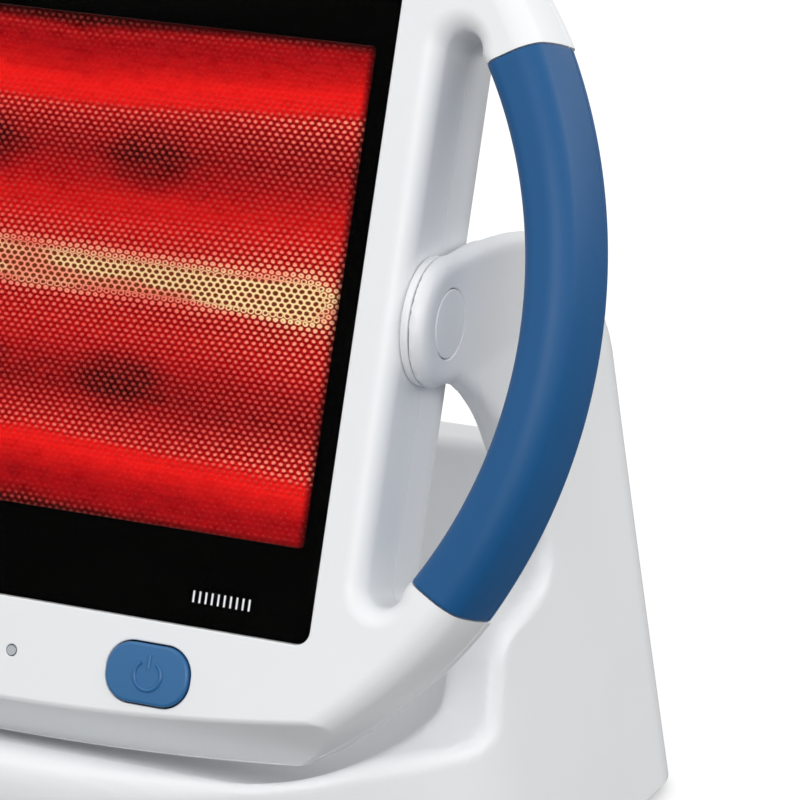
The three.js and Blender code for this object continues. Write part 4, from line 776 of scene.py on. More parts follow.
# %% Form of the tub
TUB_BACK, TUB_WIDTH, TUB_HEIGHT = 47.0, 90.0, 106.0
TUB_SHARES = np.array([(0, 0, 0), (0.36, 0.01, 0.08), (0.66, 0.2, 0.3), (0.86, 0.52, 0.6), (0.96, 0.84, 0.86),
                       (1, 1, 1)])


def smooth_path(points, steps):
    """A Catmull-Rom curve through the points."""
    points = np.asarray(points, dtype=float)
    padded = np.vstack([2 * points[0] - points[1], points, 2 * points[-1] - points[-2]])
    path = []
    for i in range(1, len(padded) - 2):
        p0, p1, p2, p3 = padded[i - 1:i + 3]
        for t in np.linspace(0, 1, steps, endpoint=False):
            path.append(0.5 * (2 * p1 + (p2 - p0) * t + (2 * p0 - 5 * p1 + 4 * p2 - p3) * t ** 2
                               + (3 * p1 - p0 - 3 * p2 + p3) * t ** 3))
    return np.array(path + [points[-1]])


def tub_form(name, inset, start):
    reach = TUB_BACK - SEAM - inset
    rings = []
    for deep, wide, high in smooth_path(TUB_SHARES, 6):
        half_width = SIDE_WALL + (TUB_WIDTH - SIDE_WALL) * max(wide, 0) - inset
        half_height = RIM_HEIGHT + (TUB_HEIGHT - RIM_HEIGHT) * max(high, 0) - inset
        rings.append(tub_ring(start + (SEAM + reach - start) * deep, half_width, half_height, TUB_CORNER))
    return loft(name, rings)


print("tub:", 2 * TUB_WIDTH, "mm wide at its back,", TUB_BACK - SEAM, "mm deep")

# %% [markdown]
# The slots are cut from outside. Each is a flat hull round two cones, so it narrows by half a
# millimetre to each side on its way in, as a moulded slot does to let go of its core.

# %% Vents, screw holes and rear cover
VENT_LOW, VENT_PITCH, VENT_HALF_LENGTH, VENT_HALF_HEIGHT = 33.8, 9.0, 52.0, 1.8
FAN_RISE, FAN_VENT_RADIUS, FAN_VENT_PITCH, FAN_VENT_HALF_HEIGHT = -62.0, 23.0, 6.8, 1.7
VENT_COUNT, VENT_DEPTH, VENT_FLARE = 6, 8.0, 0.5
SCREW_OUT, SCREW_UP, SCREW_SEAT = 127.0, 93.0, 9.0
# Each (depth, radius): a clear hole for the shaft, a seat for the head, and a small flare at the back
SCREW_HOLE = [(-8, 1.9), (SCREW_SEAT - 0.3, 1.9), (SCREW_SEAT - 0.3, 3.6), (WING_BACK - 0.4, 3.6),
              (WING_BACK, 4.0), (WING_BACK + 1, 4.0)]


def vent_cutters():
    """Rows of slots: straight ones for warm air, and a round grille for the fan."""
    fan_low = FAN_RISE - 2.5 * FAN_VENT_PITCH
    rows = [("warm_air", VENT_PITCH, VENT_HALF_LENGTH, VENT_HALF_HEIGHT, 0.0, VENT_LOW),
            ("fan_air", FAN_VENT_PITCH, FAN_VENT_RADIUS, FAN_VENT_HALF_HEIGHT, 1.0, fan_low)]
    cutters = []
    for name, pitch, length, height, circle, low in rows:
        row = grow(name, SLOTS, {"Count": VENT_COUNT, "Pitch": pitch, "Half length": length,
                                 "Half height": height, "Flare": VENT_FLARE, "Depth": VENT_DEPTH,
                                 "Circle": circle, "Finish": UNFINISHED})
        # The wide end of the slots comes out of the back, the narrow end lies inside the tub
        row.data.transform(Matrix.Translation((0, TUB_BACK + 0.1, low)))
        cutters.append(row)
    return cutters


def rear_casing():
    shell = wing_form("head_rear_cover")
    gap = gap_cutter("gap")
    seat = grip_seat("seat", "rear")
    for cutter in (mirrored(gap, "gap_left"), gap, mirrored(seat, "seat_left"), seat):
        combine(shell, cutter)
    combine(shell, tub_form("tub", 0, SEAM + SEAM_SLIT), "UNION")
    combine(shell, tub_form("tub_hollow", SHELL_WALL, SEAM - 1))
    for cutter in vent_cutters():
        combine(shell, cutter)
    combine(shell, lathe("bore", [(-BORE_END, HUB_BORE), (BORE_END, HUB_BORE)]))
    for side in (-1, 1):
        for up in (-1, 1):
            hole = lathe("screw_hole", SCREW_HOLE, 32, "Y", (side * SCREW_OUT, up * SCREW_UP))
            combine(shell, hole)
    return shell


rear = rear_casing()
print("rear cover:", len(rear.data.polygons), "faces")

# %% [markdown]
# ## Stand
# The stand is one soft white shell: a bowed foot, two arms and a hollow in which the head swings.
# Seen from the side it is one smooth line, up over the foot's deck, round the hub and down the back.
# A few points are enough for it, because a soft curve is laid through them.

# %% Side view of the stand
ARM_INSIDE, ARM_OUTSIDE, ARM_RADIUS = 119.9, 124.7, 19.3
FOOT_TOP = [(-72.1, -186), (-72.1, -146), (-71.3, -136), (-68, -130), (-62, -127), (-52, -125),
            (-40, -123.5), (-22, -124), (-8, -125), (0.5, -122.5), (4, -116.5), (6.5, -110),
            (9.5, -103.6), (17.7, -98.2), (34, -95.4), (45.6, -92.4), (50, -86.5), (49.2, -78.1),
            (40.8, -61.4), (29.2, -41.3), (19, -29.4), (8.2, -21.4), (0, -19.3)]
ARM_BACK = [(0, 19.3), (27.2, 17.6), (60, 11.5), (90, -4), (113, -24.9), (127, -47.1), (134.5, -72),
            (136, -98), (136, -125), (132.6, -155), (129.9, -186)]


def side_outline():
    """The arm and the foot seen from the side, as one closed line."""
    hub = [(ARM_RADIUS * math.cos(t), ARM_RADIUS * math.sin(t))
           for t in np.linspace(-math.pi / 2, -3 * math.pi / 2, 40)[1:-1]]
    return np.vstack([smooth_path(FOOT_TOP, 7), hub, smooth_path(ARM_BACK, 7)])


SIDE_LINE = side_outline()
print("side view of the stand:", len(SIDE_LINE), "points")

# %% [markdown]
# Every edge of the stand is soft: about 4 mm on the outer edges, 1 to 3 mm on the inner ones. Beveling
# so many crossing curved edges seldom works, so the shell is described as a distance field instead.
# Each form is a function that is negative inside, and two forms meet in a round of any radius.

# %% Distances and soft meetings
def line_distance(y, z):
    """Signed distance to the side outline, negative inside."""
    best = np.full(y.shape, 1e9)
    inside = np.zeros(y.shape, dtype=bool)
    for (ay, az), (by, bz) in zip(SIDE_LINE, np.roll(SIDE_LINE, -1, axis=0)):
        dy, dz = by - ay, bz - az
        share = np.clip(((y - ay) * dy + (z - az) * dz) / (dy * dy + dz * dz), 0, 1)
        best = np.minimum(best, (y - ay - share * dy) ** 2 + (z - az - share * dz) ** 2)
        if az != bz:
            inside ^= ((az > z) != (bz > z)) & (y < ay + dy * (z - az) / dz)
    return np.where(inside, -1, 1) * np.sqrt(best)


def ease(value, low, high):
    """0 below low, 1 above high, and a soft step between."""
    share = np.clip((value - low) / (high - low), 0, 1)
    return share * share * (3 - 2 * share)


def round_meet(a, b, radius):
    """Where two forms overlap, with the edge between them rounded."""
    edge = np.hypot(np.maximum(radius + a, 0), np.maximum(radius + b, 0))
    return np.minimum(-radius, np.maximum(a, b)) + edge


print("1 mm inside two walls whose edge is rounded by 4 mm:", round(float(round_meet(-1.0, -1.0, 4.0)), 2))

# %% [markdown]
# Four forms make the stand: its walls seen from above, its side view, the room the head needs to swing,
# and the hollow inside. The walls bow in full in front, run straight at the sides and turn round
# corners at the back, and they spread towards the table so that the lamp stands firm.

# %% Forms of the stand
STAND_FRONT, STAND_BACK, FOOT_HALF_WIDTH = 72.0, 136.0, 150.0
FOOT_CORNER, FLARE_POWER, BOW_POWER = 26.0, 1.05, 2.5
SWING_RADIUS, SWING_BARREL, BACK_WALL_TOP = 140.6, 171.2, -79.0
DRUM_ROUND, SWING_SIDE_ROUND = 10.0, 3.0
RIM, RIM_EDGE_RADIUS = 3.0, 0.8          # the shell ends this far above the table
EDGE_RADIUS, HUB_EDGE_RADIUS, ARM_EDGE_RADIUS, DECK_EDGE_RADIUS = 4.6, 1.0, 2.2, 2.8
DECK_BAND, ARM_BAND = (60, 100), (16, 40)   # below and behind the axis, where the inner rounds grow
BOW_START, BOW_SHIFT, BOW_BAND = 22, 46.3, (-48, -30)   # the bow begins further ahead on the arms
ROOM_NARROWING, ROOM_BAND = 12, (52, 92)     # the arms thicken towards the back wall
CAVITY_TOP, LOW_CAVITY_BACK, LOW_CAVITY_RISE = -47.0, 127.0, 9.0


def plan_distance(x, y, z):
    """Distance to the stand's walls: a full bow in front, straight sides and round back corners."""
    share = np.clip((-ARM_RADIUS - z) / (-ARM_RADIUS - FLOOR), 0, 1)
    half = ARM_OUTSIDE + (FOOT_HALF_WIDTH - ARM_OUTSIDE) * share ** FLARE_POWER
    start = BOW_START - BOW_SHIFT * ease(z, *BOW_BAND)
    ahead = np.maximum(start - y, 0)
    a, b = np.abs(x) / half, ahead / (STAND_FRONT + start)
    norm = (a ** BOW_POWER + b ** BOW_POWER) ** (1 / BOW_POWER) + 1e-6
    slope = np.hypot(a ** (BOW_POWER - 1) / half, b ** (BOW_POWER - 1) / (STAND_FRONT + start))
    bow = np.where(norm > 0.5, (norm - 1) * norm ** (BOW_POWER - 1) / (slope + 1e-6), -40)
    out, deep = np.abs(x) - half + FOOT_CORNER, y - STAND_BACK + FOOT_CORNER
    corner = np.hypot(np.maximum(out, 0), np.maximum(deep, 0)) + np.minimum(np.maximum(out, deep), 0)
    return np.where(y < start, bow, corner - FOOT_CORNER)


def swing_distance(x, y, z):
    """The room where the head swings, between the arms and above the back wall."""
    wide = ARM_INSIDE - ROOM_NARROWING * ease(y, *ROOM_BAND)
    sides = np.abs(x) - wide
    barrel = np.sqrt(x * x + y * y + z * z) - SWING_BARREL
    drum = round_meet(np.hypot(y, z) - SWING_RADIUS, barrel, DRUM_ROUND)
    above = BACK_WALL_TOP - z
    room = -round_meet(-drum, -above, DECK_EDGE_RADIUS)
    return round_meet(sides, room, SWING_SIDE_ROUND)


def stand_distance(x, y, z, side=None):
    """The solid stand, with rounds that grow from the hub to the back of the arms and to the deck."""
    side = line_distance(y, z) if side is None else side
    body = round_meet(plan_distance(x, y, z), side, EDGE_RADIUS)
    body = round_meet(body, FLOOR + RIM - z, RIM_EDGE_RADIUS)
    on_deck = HUB_EDGE_RADIUS + (DECK_EDGE_RADIUS - HUB_EDGE_RADIUS) * ease(-z, *DECK_BAND)
    on_arm = HUB_EDGE_RADIUS + (ARM_EDGE_RADIUS - HUB_EDGE_RADIUS) * ease(y, *ARM_BAND)
    return round_meet(body, -swing_distance(x, y, z), np.maximum(on_deck, on_arm))


def hollow_distance(x, y, z, side=None):
    """Room inside the shell, open to the floor and closed below the arms."""
    side = line_distance(y, z) if side is None else side
    plan = plan_distance(x, y, z)
    body = np.maximum(plan, side) + SHELL_WALL
    body = np.maximum(np.maximum(body, z - CAVITY_TOP), SHELL_WALL - swing_distance(x, y, z))
    low = np.maximum(np.maximum(plan + SHELL_WALL, y - LOW_CAVITY_BACK), z - FLOOR - LOW_CAVITY_RISE)
    return np.minimum(body, low)


middle_of_foot = stand_distance(*[np.array([value]) for value in (0.0, 30.0, FLOOR + 40)])
print("depth of a point in the middle of the foot:", round(float(-middle_of_foot[0]), 1), "mm")

# %% [markdown]
# OpenVDB turns the field into a mesh of even squares. Its points lie a little off, as the grid is
# coarse, so each one is then moved along the slope onto the exact surface. A remesh modifier would
# need a finer grid for the same softness.

# %% Mesh of the stand
VOXEL, HOLLOW_VOXEL = 1.6, 4.0
CAP_SEAT = [(-1.9, 10.4), (-0.35, 10.4), (0.02, 10.75), (2.0, 10.75)]   # from the arm's outside, radius
INLET_OUT, INLET_RISE, INLET_BORE = 60.0, 22.0, 5.3


def field_mesh(field, low, high, voxel):
    """Samples a field on a grid and meshes its zero surface."""
    axes = [np.arange(a, b + voxel, voxel) for a, b in zip(low, high)]
    y2, z2 = np.meshgrid(axes[1], axes[2], indexing="ij")
    side = line_distance(y2, z2)[None]
    x3, y3, z3 = axes[0][:, None, None], axes[1][None, :, None], axes[2][None, None, :]
    values = np.broadcast_to(field(x3, y3, z3, side), [len(a) for a in axes]).astype(np.float32)
    band = 4 * voxel
    grid = openvdb.FloatGrid(band)
    grid.copyFromArray(np.clip(values, -band, band))
    points, _, quads = grid.convertToPolygons(isovalue=0.0, adaptivity=0.0)
    points = points * voxel + np.array(low)
    return points, [tuple(quad) for quad in quads]


def onto_surface(points, field, rounds=3):
    """Moves points onto the exact zero surface along the field's slope."""
    step = 0.02
    for _ in range(rounds):
        x, y, z = points.T
        here = field(x, y, z)
        slope = np.stack([field(x + step, y, z) - here, field(x, y + step, z) - here,
                          field(x, y, z + step) - here], axis=1) / step
        length = np.maximum(np.einsum("ij,ij->i", slope, slope), 0.05)
        points = points - np.clip(here / length, -0.8, 0.8)[:, None] * slope
    return points


def stand_casing():
    low, high = (-153, -76.5, FLOOR - 3), (153, 139.5, 24)
    points, faces = field_mesh(stand_distance, low, high, VOXEL)
    points = onto_surface(points, stand_distance)
    shell = add_piece("stand_shell_soft", mesh_of("stand_shell_soft", points, faces))
    points, faces = field_mesh(hollow_distance, low[:2] + (FLOOR - 12,), high[:2] + (0,), HOLLOW_VOXEL)
    combine(shell, add_piece("hollow", mesh_of("hollow", points, faces)))
    for side in (-1, 1):
        seat = [(side * (ARM_OUTSIDE + along), radius) for along, radius in CAP_SEAT]
        combine(shell, lathe("cap_seat", seat, 96))
        bore = [(side * 100, HUB_BORE), (side * (ARM_OUTSIDE - 1.7), HUB_BORE)]
        combine(shell, lathe("bore", bore, 96))
    inlet_hole = [(118, INLET_BORE), (142, INLET_BORE)]
    combine(shell, lathe("inlet_hole", inlet_hole, 48, "Y", (INLET_OUT, FLOOR + INLET_RISE)))
    return shell


stand = stand_casing()
print("stand shell:", len(stand.data.polygons), "faces")

# %% [markdown]
# ## Hubs
# Between each side wall and its arm sits a turned ring, and a flush cap closes the arm outside. They
# are turned parts, so a profile spun about the tilt axis gives their rounds and their fine grooves.

# %% Hub rings and caps
RING_GAP, RING_END, RING_RADIUS, RING_EDGE = 0.3, 2.6, 19.0, 0.55
CAP_RADIUS, CAP_EDGE, CAP_BACK = 10.1, 0.35, 1.6


def turned_ring(name, inner, outer, bore, radius, edge):
    """A flat ring about the axis, with both outer edges rounded."""
    turns = np.linspace(0, math.pi / 2, 6)
    rim = [(inner + edge * (1 - math.cos(t)), radius - edge * (1 - math.sin(t))) for t in turns]
    rim += [(outer - edge * (1 - math.sin(t)), radius - edge * (1 - math.cos(t))) for t in turns]
    return lathe(name, [(inner, bore)] + rim + [(outer, bore)], 128, closed=True)


def hub_ring(side):
    ring = turned_ring("hub_ring_right", SIDE_WALL + RING_GAP, SIDE_WALL + RING_END, HUB_BORE,
                       RING_RADIUS, RING_EDGE)
    return ring if side > 0 else swap_side(ring, "hub_ring_left")


def hub_cap(side):
    """A disc with a round edge and a crown of a third of a millimetre."""
    inner = 9.75
    edge = [(ARM_OUTSIDE - CAP_BACK, 0), (ARM_OUTSIDE - CAP_BACK, CAP_RADIUS)]
    edge += [(ARM_OUTSIDE - 0.25 + CAP_EDGE * math.sin(t), inner + CAP_EDGE * math.cos(t))
             for t in np.linspace(0, math.pi / 2, 6)]
    crown = [(ARM_OUTSIDE + 0.1 + CAP_EDGE * (1 - (r / inner) ** 2), r) for r in (8, 6, 4, 2, 0)]
    cap = lathe("hub_cap_disc_right", edge + crown, 96)
    return cap if side > 0 else swap_side(cap, "hub_cap_disc_left")


def swap_side(piece, name):
    other = mirrored(piece, name)
    drop(piece)
    return other


rings = {side: hub_ring(side) for side in (1, -1)}
caps = {side: hub_cap(side) for side in (1, -1)}
print("hub rings and caps:", len(rings) + len(caps))

# %% [markdown]
# ## Glass, printed border and red pane
# The front is a clear pane with a black border printed on its back, so the border looks deep and
# glossy. The print could be painted on the glass, but a thin sheet of its own right behind the pane
# gives the same depth, and keeps its window exactly in line with the red pane.

# %% Glass pane and its print
GLASS_FRONT, GLASS_BACK, GLASS_EDGE = -18.7, -14.7, 0.6
TICK_COUNT, TICK_START, TICK_PITCH = 10, 63.4, 2.0
TICK_LOW, TICK_HIGH, TICK_HALF_WIDTH = -90.4, -87.0, 0.3


def pane():
    edge = arc_inset(GLASS_EDGE, 5)
    rings = [glass_ring(GLASS_FRONT + depth, -inset) for depth, inset in edge]
    rings += [glass_ring(GLASS_BACK - depth, -inset) for depth, inset in reversed(edge)]
    return loft("glass_pane", rings)


def frame_sheet(name, outer, inner, front, back):
    """A thin sheet with a window in it."""
    sheet = loft(name, [outer(front, 0), outer(back, 0)])
    return combine(sheet, loft("window", [inner(front - 1, 0), inner(back + 1, 0)]))


def print_outer(depth, grow):
    return glass_ring(depth, grow - 0.15)


def data_ticks():
    """A short row of pale ticks on the border, without any words."""
    tick = box_piece("tick", (-TICK_HALF_WIDTH, GLASS_BACK + 0.01, TICK_LOW),
                     (TICK_HALF_WIDTH, GLASS_BACK + 0.06, TICK_HIGH))
    places = [(TICK_START + TICK_PITCH * i, 0, 0) for i in range(TICK_COUNT)]
    return scattered("glass_ticks", tick, places, 0.0, 1)


glass = pane()
ticks = data_ticks()
border = frame_sheet("glass_black_print", print_outer, window_ring, GLASS_BACK + 0.03, GLASS_BACK + 0.12)
print("glass pane:", len(glass.data.polygons), "faces; print:", len(border.data.polygons), "faces")

# %% [markdown]
# Behind the window lies a thin red pane, pressed full of small dimples in staggered rows. Nearly eight
# thousand dimples would be slow to model one by one, but are quickly made as instances of one small
# body with six sides.

# %% Red pane with its dimples
FILTER_FRONT, FILTER_BACK = -13.1, -10.7
DIMPLE_ROW, DIMPLE_PITCH = 1.52, 2.37
DIMPLE_RADIUS, DIMPLE_TOP, DIMPLE_RISE = 0.62, 0.3, 0.22
FILTER_EDGE, FILTER_GROW = 0.3, 1.3


def dimple_tree():
    """Small flat-topped cones on every point, half sunk in the pane."""
    tree, given = geometry_tree("dimples", [("Radius", "number"), ("Top", "number"), ("Rise", "number"),
                                            ("Finish", "finish")])
    cone = wire(tree, "GeometryNodeMeshCone", {"fill_type": "TRIANGLE_FAN"}, Vertices=6,
                Radius_Top=given.outputs["Top"], Radius_Bottom=given.outputs["Radius"],
                Depth=given.outputs["Rise"])
    placed = wire(tree, "GeometryNodeInstanceOnPoints", Points=given.outputs["Geometry"],
                  Instance=cone.outputs["Mesh"], Rotation=(math.pi / 2, 0, 0))
    end_tree(tree, placed.outputs[0], given.outputs["Finish"])
    return tree


def dimple_places():
    """Staggered rows inside the window; every second row is shifted by half a pitch."""
    places = []
    half_rows = int(WINDOW_HIGH / DIMPLE_ROW)
    for row in range(-half_rows, half_rows + 1):
        height = row * DIMPLE_ROW
        if not -WINDOW_LOW + 0.7 < height < WINDOW_HIGH - 0.7:
            continue
        shift = DIMPLE_PITCH / 2 if row % 2 else 0.0
        count = int(WINDOW_WIDTH / DIMPLE_PITCH)
        for i in range(-count - 1, count + 1):
            across = i * DIMPLE_PITCH + shift
            if abs(across) < WINDOW_WIDTH - 0.8:
                places.append((across, FILTER_FRONT - DIMPLE_RISE / 2, height))
    return places


def red_pane():
    return loft("red_pane", [window_ring(FILTER_FRONT, FILTER_GROW - FILTER_EDGE),
                             window_ring(FILTER_FRONT + FILTER_EDGE, FILTER_GROW),
                             window_ring(FILTER_BACK, FILTER_GROW)])


red_sheet = red_pane()
print("dimples:", len(dimple_places()))

# %% [markdown]
# ## Buttons
# Each button is a rounded cap, slightly crowned so that it catches a soft highlight, in a narrow dark
# slit. A raised mark tells the two apart: the common power sign on the right, a clock face for the
# timer on the left. Both marks are generic.

# %% Button caps
CAP_FOOT, CAP_TOP, CAP_ROUND, CAP_CROWN = -14.7, FACE - 1.1, 0.9, 0.25


def shrunk_button(share, side):
    """A smaller ring of the crown, at its own height."""
    outer = np.array(button_ring(0, -CAP_ROUND, side))
    middle = np.array((side * BUTTON_OUT, 0, -BUTTON_DOWN))
    ring = middle + (outer - middle) * (1 - share)
    ring[:, 1] = CAP_TOP - CAP_CROWN * (1 - (1 - share) ** 2)
    return ring


def button_cap(name, side):
    """Rings shrink towards the middle, and rise as a shallow crown."""
    rings = [button_ring(CAP_FOOT, 0, side), button_ring(FACE - 0.2, 0, side)]
    for depth, inset in reversed(arc_inset(CAP_ROUND, 6)):
        rings.append(button_ring(CAP_TOP + depth, -inset, side))
    rings += [shrunk_button(share, side) for share in np.linspace(0, 1, 9)[1:-1]]
    return loft(name, rings)


print("button caps:", 2 * BUTTON_WIDTH, "by", 2 * BUTTON_HEIGHT, "mm")

# %% [markdown]
# The marks are fine ridges in the cap's own blue. They could be a printed picture, but a ridge catches
# light on one side and throws a thin shadow on the other, which is how such signs are read.

# %% Marks on the buttons
MARK_RISE, MARK_HALF_WIDTH = 0.5, 0.72
MARK_FOOT, MARK_TOP = FACE - 1.0, FACE - 1.35 - MARK_RISE
POWER_RADIUS, TIMER_RADIUS = 4.3, 5.0


def band_strip(points, half_width, low, high):
    """A round-topped ridge that follows a line of (across, up) points."""
    points = np.asarray(points, dtype=float)
    along = np.gradient(points, axis=0)
    normal = np.stack([-along[:, 1], along[:, 0]], axis=1)
    normal /= np.linalg.norm(normal, axis=1)[:, None]
    spans = [(half_width * math.sin(t), low + (high - low) * math.cos(t))
             for t in np.linspace(-math.pi / 2, math.pi / 2, 11)]
    sections = []
    for point, across in zip(points, normal):
        sections.append([(point[0] + across[0] * s, d, point[1] + across[1] * s) for s, d in spans])
    return sections


def ridge(name, points, half_width, low, high):
    return loft(name, band_strip(points, half_width, low, high))


def arc_points(radius, start, end, steps, middle):
    return [(middle[0] + radius * math.cos(t), middle[1] + radius * math.sin(t))
            for t in np.radians(np.linspace(start, end, steps))]


def button_mark(name, side):
    """The power sign on the right button, a clock face on the left one."""
    across, up = side * BUTTON_OUT + 0.6, -BUTTON_DOWN - 0.3
    if side > 0:
        lines = [arc_points(POWER_RADIUS, 125, 415, 48, (across, up)),
                 [(across, up + rise) for rise in (6.0, 4.0, 2.0)]]
    else:
        lines = [arc_points(TIMER_RADIUS, 0, 359, 56, (across, up)),
                 [(across, up + rise) for rise in (3.3, 2.1, 0.9)],
                 [(across + step, up - 0.4) for step in (0.9, 1.8, 2.7)]]
    ridges = [ridge(f"{name}_{i}", line, MARK_HALF_WIDTH, MARK_FOOT, MARK_TOP)
              for i, line in enumerate(lines)]
    return joined(name, ridges)


def button(name, side):
    return joined(name, [button_cap("cap", side), button_mark("mark", side)])


power = button("power_button_cap", 1)
timer = button("timer_button_cap", -1)
print("buttons:", len(power.data.polygons), "and", len(timer.data.polygons), "faces")

# %% [markdown]
# ## Feet, screws and the cord's grommet
# Four rubber feet and two sets of four cross-head screws are small, but the lamp is looked at from
# below and behind too. Each is turned once, and the scatter tree sets it on its places.

# %% Feet, screws and grommet
FOOT_PLACES = [(x, y, FLOOR) for x in (-108, 108) for y in (-26, 108)]
BASE_SCREW_PLACES = [(x, y, FLOOR + 3.7) for x in (-84, 84) for y in (-48, 116)]
HEAD_SCREW_PLACES = [(x, SCREW_SEAT + 1.5, z) for x in (-SCREW_OUT, SCREW_OUT)
                     for z in (-SCREW_UP, SCREW_UP)]
SCREW_PROFILE = [(0, 0), (0.05, 1.2), (0.2, 2.2), (0.55, 2.9), (1.0, 3.2), (1.5, 3.2), (1.5, 1.6),
                 (12, 1.6), (12.8, 0.6), (13, 0)]
CROSS_LONG, CROSS_THIN, CROSS_DEPTH = 1.75, 0.32, 0.9


def rubber_foot():
    """A puck with a groove that snaps into the base plate."""
    profile = [(0.0, 0), (0.0, 5.2), (0.35, 5.5), (0.35, 6.3), (0.0, 6.6), (0.0, 8.2)]
    profile += [(0.8 * (1 - math.cos(t)), 8.2 + 0.8 * math.sin(t)) for t in np.linspace(0.3, math.pi / 2, 5)]
    profile += [(3.5, 9.0), (3.7, 8.8), (3.7, 0)]
    return lathe("foot", profile, 64, "Z")


def cross_screw(name, up):
    """Pan head with a cross recess, and a shaft; up turns it to face down or back."""
    screw = lathe(name, SCREW_PROFILE, 40, "Y")
    for wide, high in ((CROSS_LONG, CROSS_THIN), (CROSS_THIN, CROSS_LONG)):
        combine(screw, box_piece("slot", (-wide, -1, -high), (wide, CROSS_DEPTH, high)))
    turn = Matrix.Rotation(math.pi / 2, 4, "X") if up else Matrix.Rotation(math.pi, 4, "Z")
    screw.data.transform(turn)
    return screw


def grommet():
    """A rubber ring with a rounded flange outside the wall."""
    profile = [(126, 3.4), (126, 4.9), (128.9, 4.9), (129.2, 7.0)]
    profile += [(131.2 - 0.9 * (1 - math.sin(t)), 7.4 - 0.9 * (1 - math.cos(t)))
                for t in np.linspace(0, math.pi / 2, 6)]
    profile += [(131.2, 4.2), (130.8, 3.4)]
    return lathe("cord_grommet", profile, 64, "Y", (INLET_OUT, FLOOR + INLET_RISE), closed=True)


feet = scattered("rubber_feet", rubber_foot(), FOOT_PLACES, 0.0, 1)
base_screws = scattered("base_screws", cross_screw("screw", True), BASE_SCREW_PLACES, 0.0, 1)
head_screws = scattered("head_screws", cross_screw("screw", False), HEAD_SCREW_PLACES, 1.5, 4)
inlet = grommet()
for piece in (feet, base_screws, head_screws, inlet):
    print(piece.name, len(piece.data.polygons), "faces")

# %% [markdown]
# ## Finishes
# Moulded plastic is never one flat colour: it has a fine grain from the mould, faint clouds in its
# gloss, and slightly different tones where it cooled. One node group makes that for every plastic,
# with its own sizes in each.

# %% Helpers for shader nodes
def shader_group(name, inputs, outputs):
    group = bpy.data.node_groups.new(name, "ShaderNodeTree")
    for label, kind, value in inputs:
        socket = group.interface.new_socket(label, in_out="INPUT", socket_type=kind)
        if value is not None:
            socket.default_value = value
    for label, kind in outputs:
        group.interface.new_socket(label, in_out="OUTPUT", socket_type=kind)
    return group, group.nodes.new("NodeGroupInput"), group.nodes.new("NodeGroupOutput")


def times(tree, a, b, clamp=False):
    return math_node(tree, "MULTIPLY", a, b, clamp=clamp)


def mix_colours(tree, share, low, high, blend="MIX"):
    """The low colour where the share is 0, the high one where it is 1."""
    settings = {"data_type": "RGBA", "blend_type": blend}
    return wire(tree, "ShaderNodeMix", settings, _0=share, _6=low, _7=high).outputs[2]


def ramp(tree, value, low, high, start=0.0, end=1.0):
    """A soft step from start to end while the value goes from low to high."""
    return wire(tree, "ShaderNodeMapRange", {"interpolation_type": "SMOOTHSTEP"}, Value=value, From_Min=low,
                From_Max=high, To_Min=start, To_Max=end).outputs[0]


def noise(tree, place, scale, detail=2.0):
    return wire(tree, "ShaderNodeTexNoise", Vector=place, Scale=scale, Detail=detail).outputs["Fac"]


def bump(tree, shader, height, strength, distance):
    """Lets a height value tilt the surface's normals."""
    relief = wire(tree, "ShaderNodeBump", Strength=strength, Distance=distance, Height=height)
    tree.links.new(relief.outputs[0], shader.inputs["Normal"])


print("ready: shader groups, sums, ramps, noise and bumps")

# %% [markdown]
# In this group fine noise gives the grain, a wide cloud shifts the tone, and the cloud mixed with
# smaller smudges shifts the gloss. A flat value for each would look like paint on a computer.

# %% Node group for moulded plastic
CLOUD_SCALE, RUB_SCALE = 28.0, 160.0            # waves per metre


def moulded_group():
    group, given, out = shader_group(
        "moulded_plastic",
        [("Place", "NodeSocketVector", None), ("Colour", "NodeSocketColor", (1, 1, 1, 1)),
         ("Grain per metre", "NodeSocketFloat", 2500.0), ("Gloss", "NodeSocketFloat", 0.4),
         ("Gloss spread", "NodeSocketFloat", 0.08), ("Tone spread", "NodeSocketFloat", 0.03)],
        [("Colour", "NodeSocketColor"), ("Roughness", "NodeSocketFloat"), ("Height", "NodeSocketFloat")])
    place = given.outputs["Place"]
    fine = noise(group, place, given.outputs["Grain per metre"], 3.0)
    cloud = noise(group, place, CLOUD_SCALE, 4.0)
    rub = noise(group, place, RUB_SCALE, 6.0)
    centred = math_node(group, "SUBTRACT", cloud, 0.5)
    tone = math_node(group, "MULTIPLY_ADD", centred, given.outputs["Tone spread"], 1.0)
    shade = mix_colours(group, 1.0, given.outputs["Colour"], tone, "MULTIPLY")
    mixed = math_node(group, "ADD", times(group, rub, 0.6), times(group, cloud, 0.4))
    spread = times(group, math_node(group, "SUBTRACT", mixed, 0.5), given.outputs["Gloss spread"])
    rough = math_node(group, "ADD", given.outputs["Gloss"], times(group, spread, 2.0), clamp=True)
    group.links.new(shade, out.inputs["Colour"])
    group.links.new(rough, out.inputs["Roughness"])
    group.links.new(fine, out.inputs["Height"])
    return group


MOULDED = moulded_group()
print("node group:", MOULDED.name, "with", len(MOULDED.nodes), "nodes")

# %% [markdown]
# ## Plastics
# The same group serves the white casing, the blue grips, rubber, the board and even the unglazed
# ceramic, as all of them are grained and slightly uneven. Only colour, gloss and grain differ.

# %% Plastics, rubber, ceramic and print
def new_material(name):
    material = bpy.data.materials.new(name)
    material.use_nodes = True
    tree = material.node_tree
    shader = tree.nodes["Principled BSDF"]
    place = tree.nodes.new("ShaderNodeTexCoord").outputs["Object"]
    return material, tree, shader, place


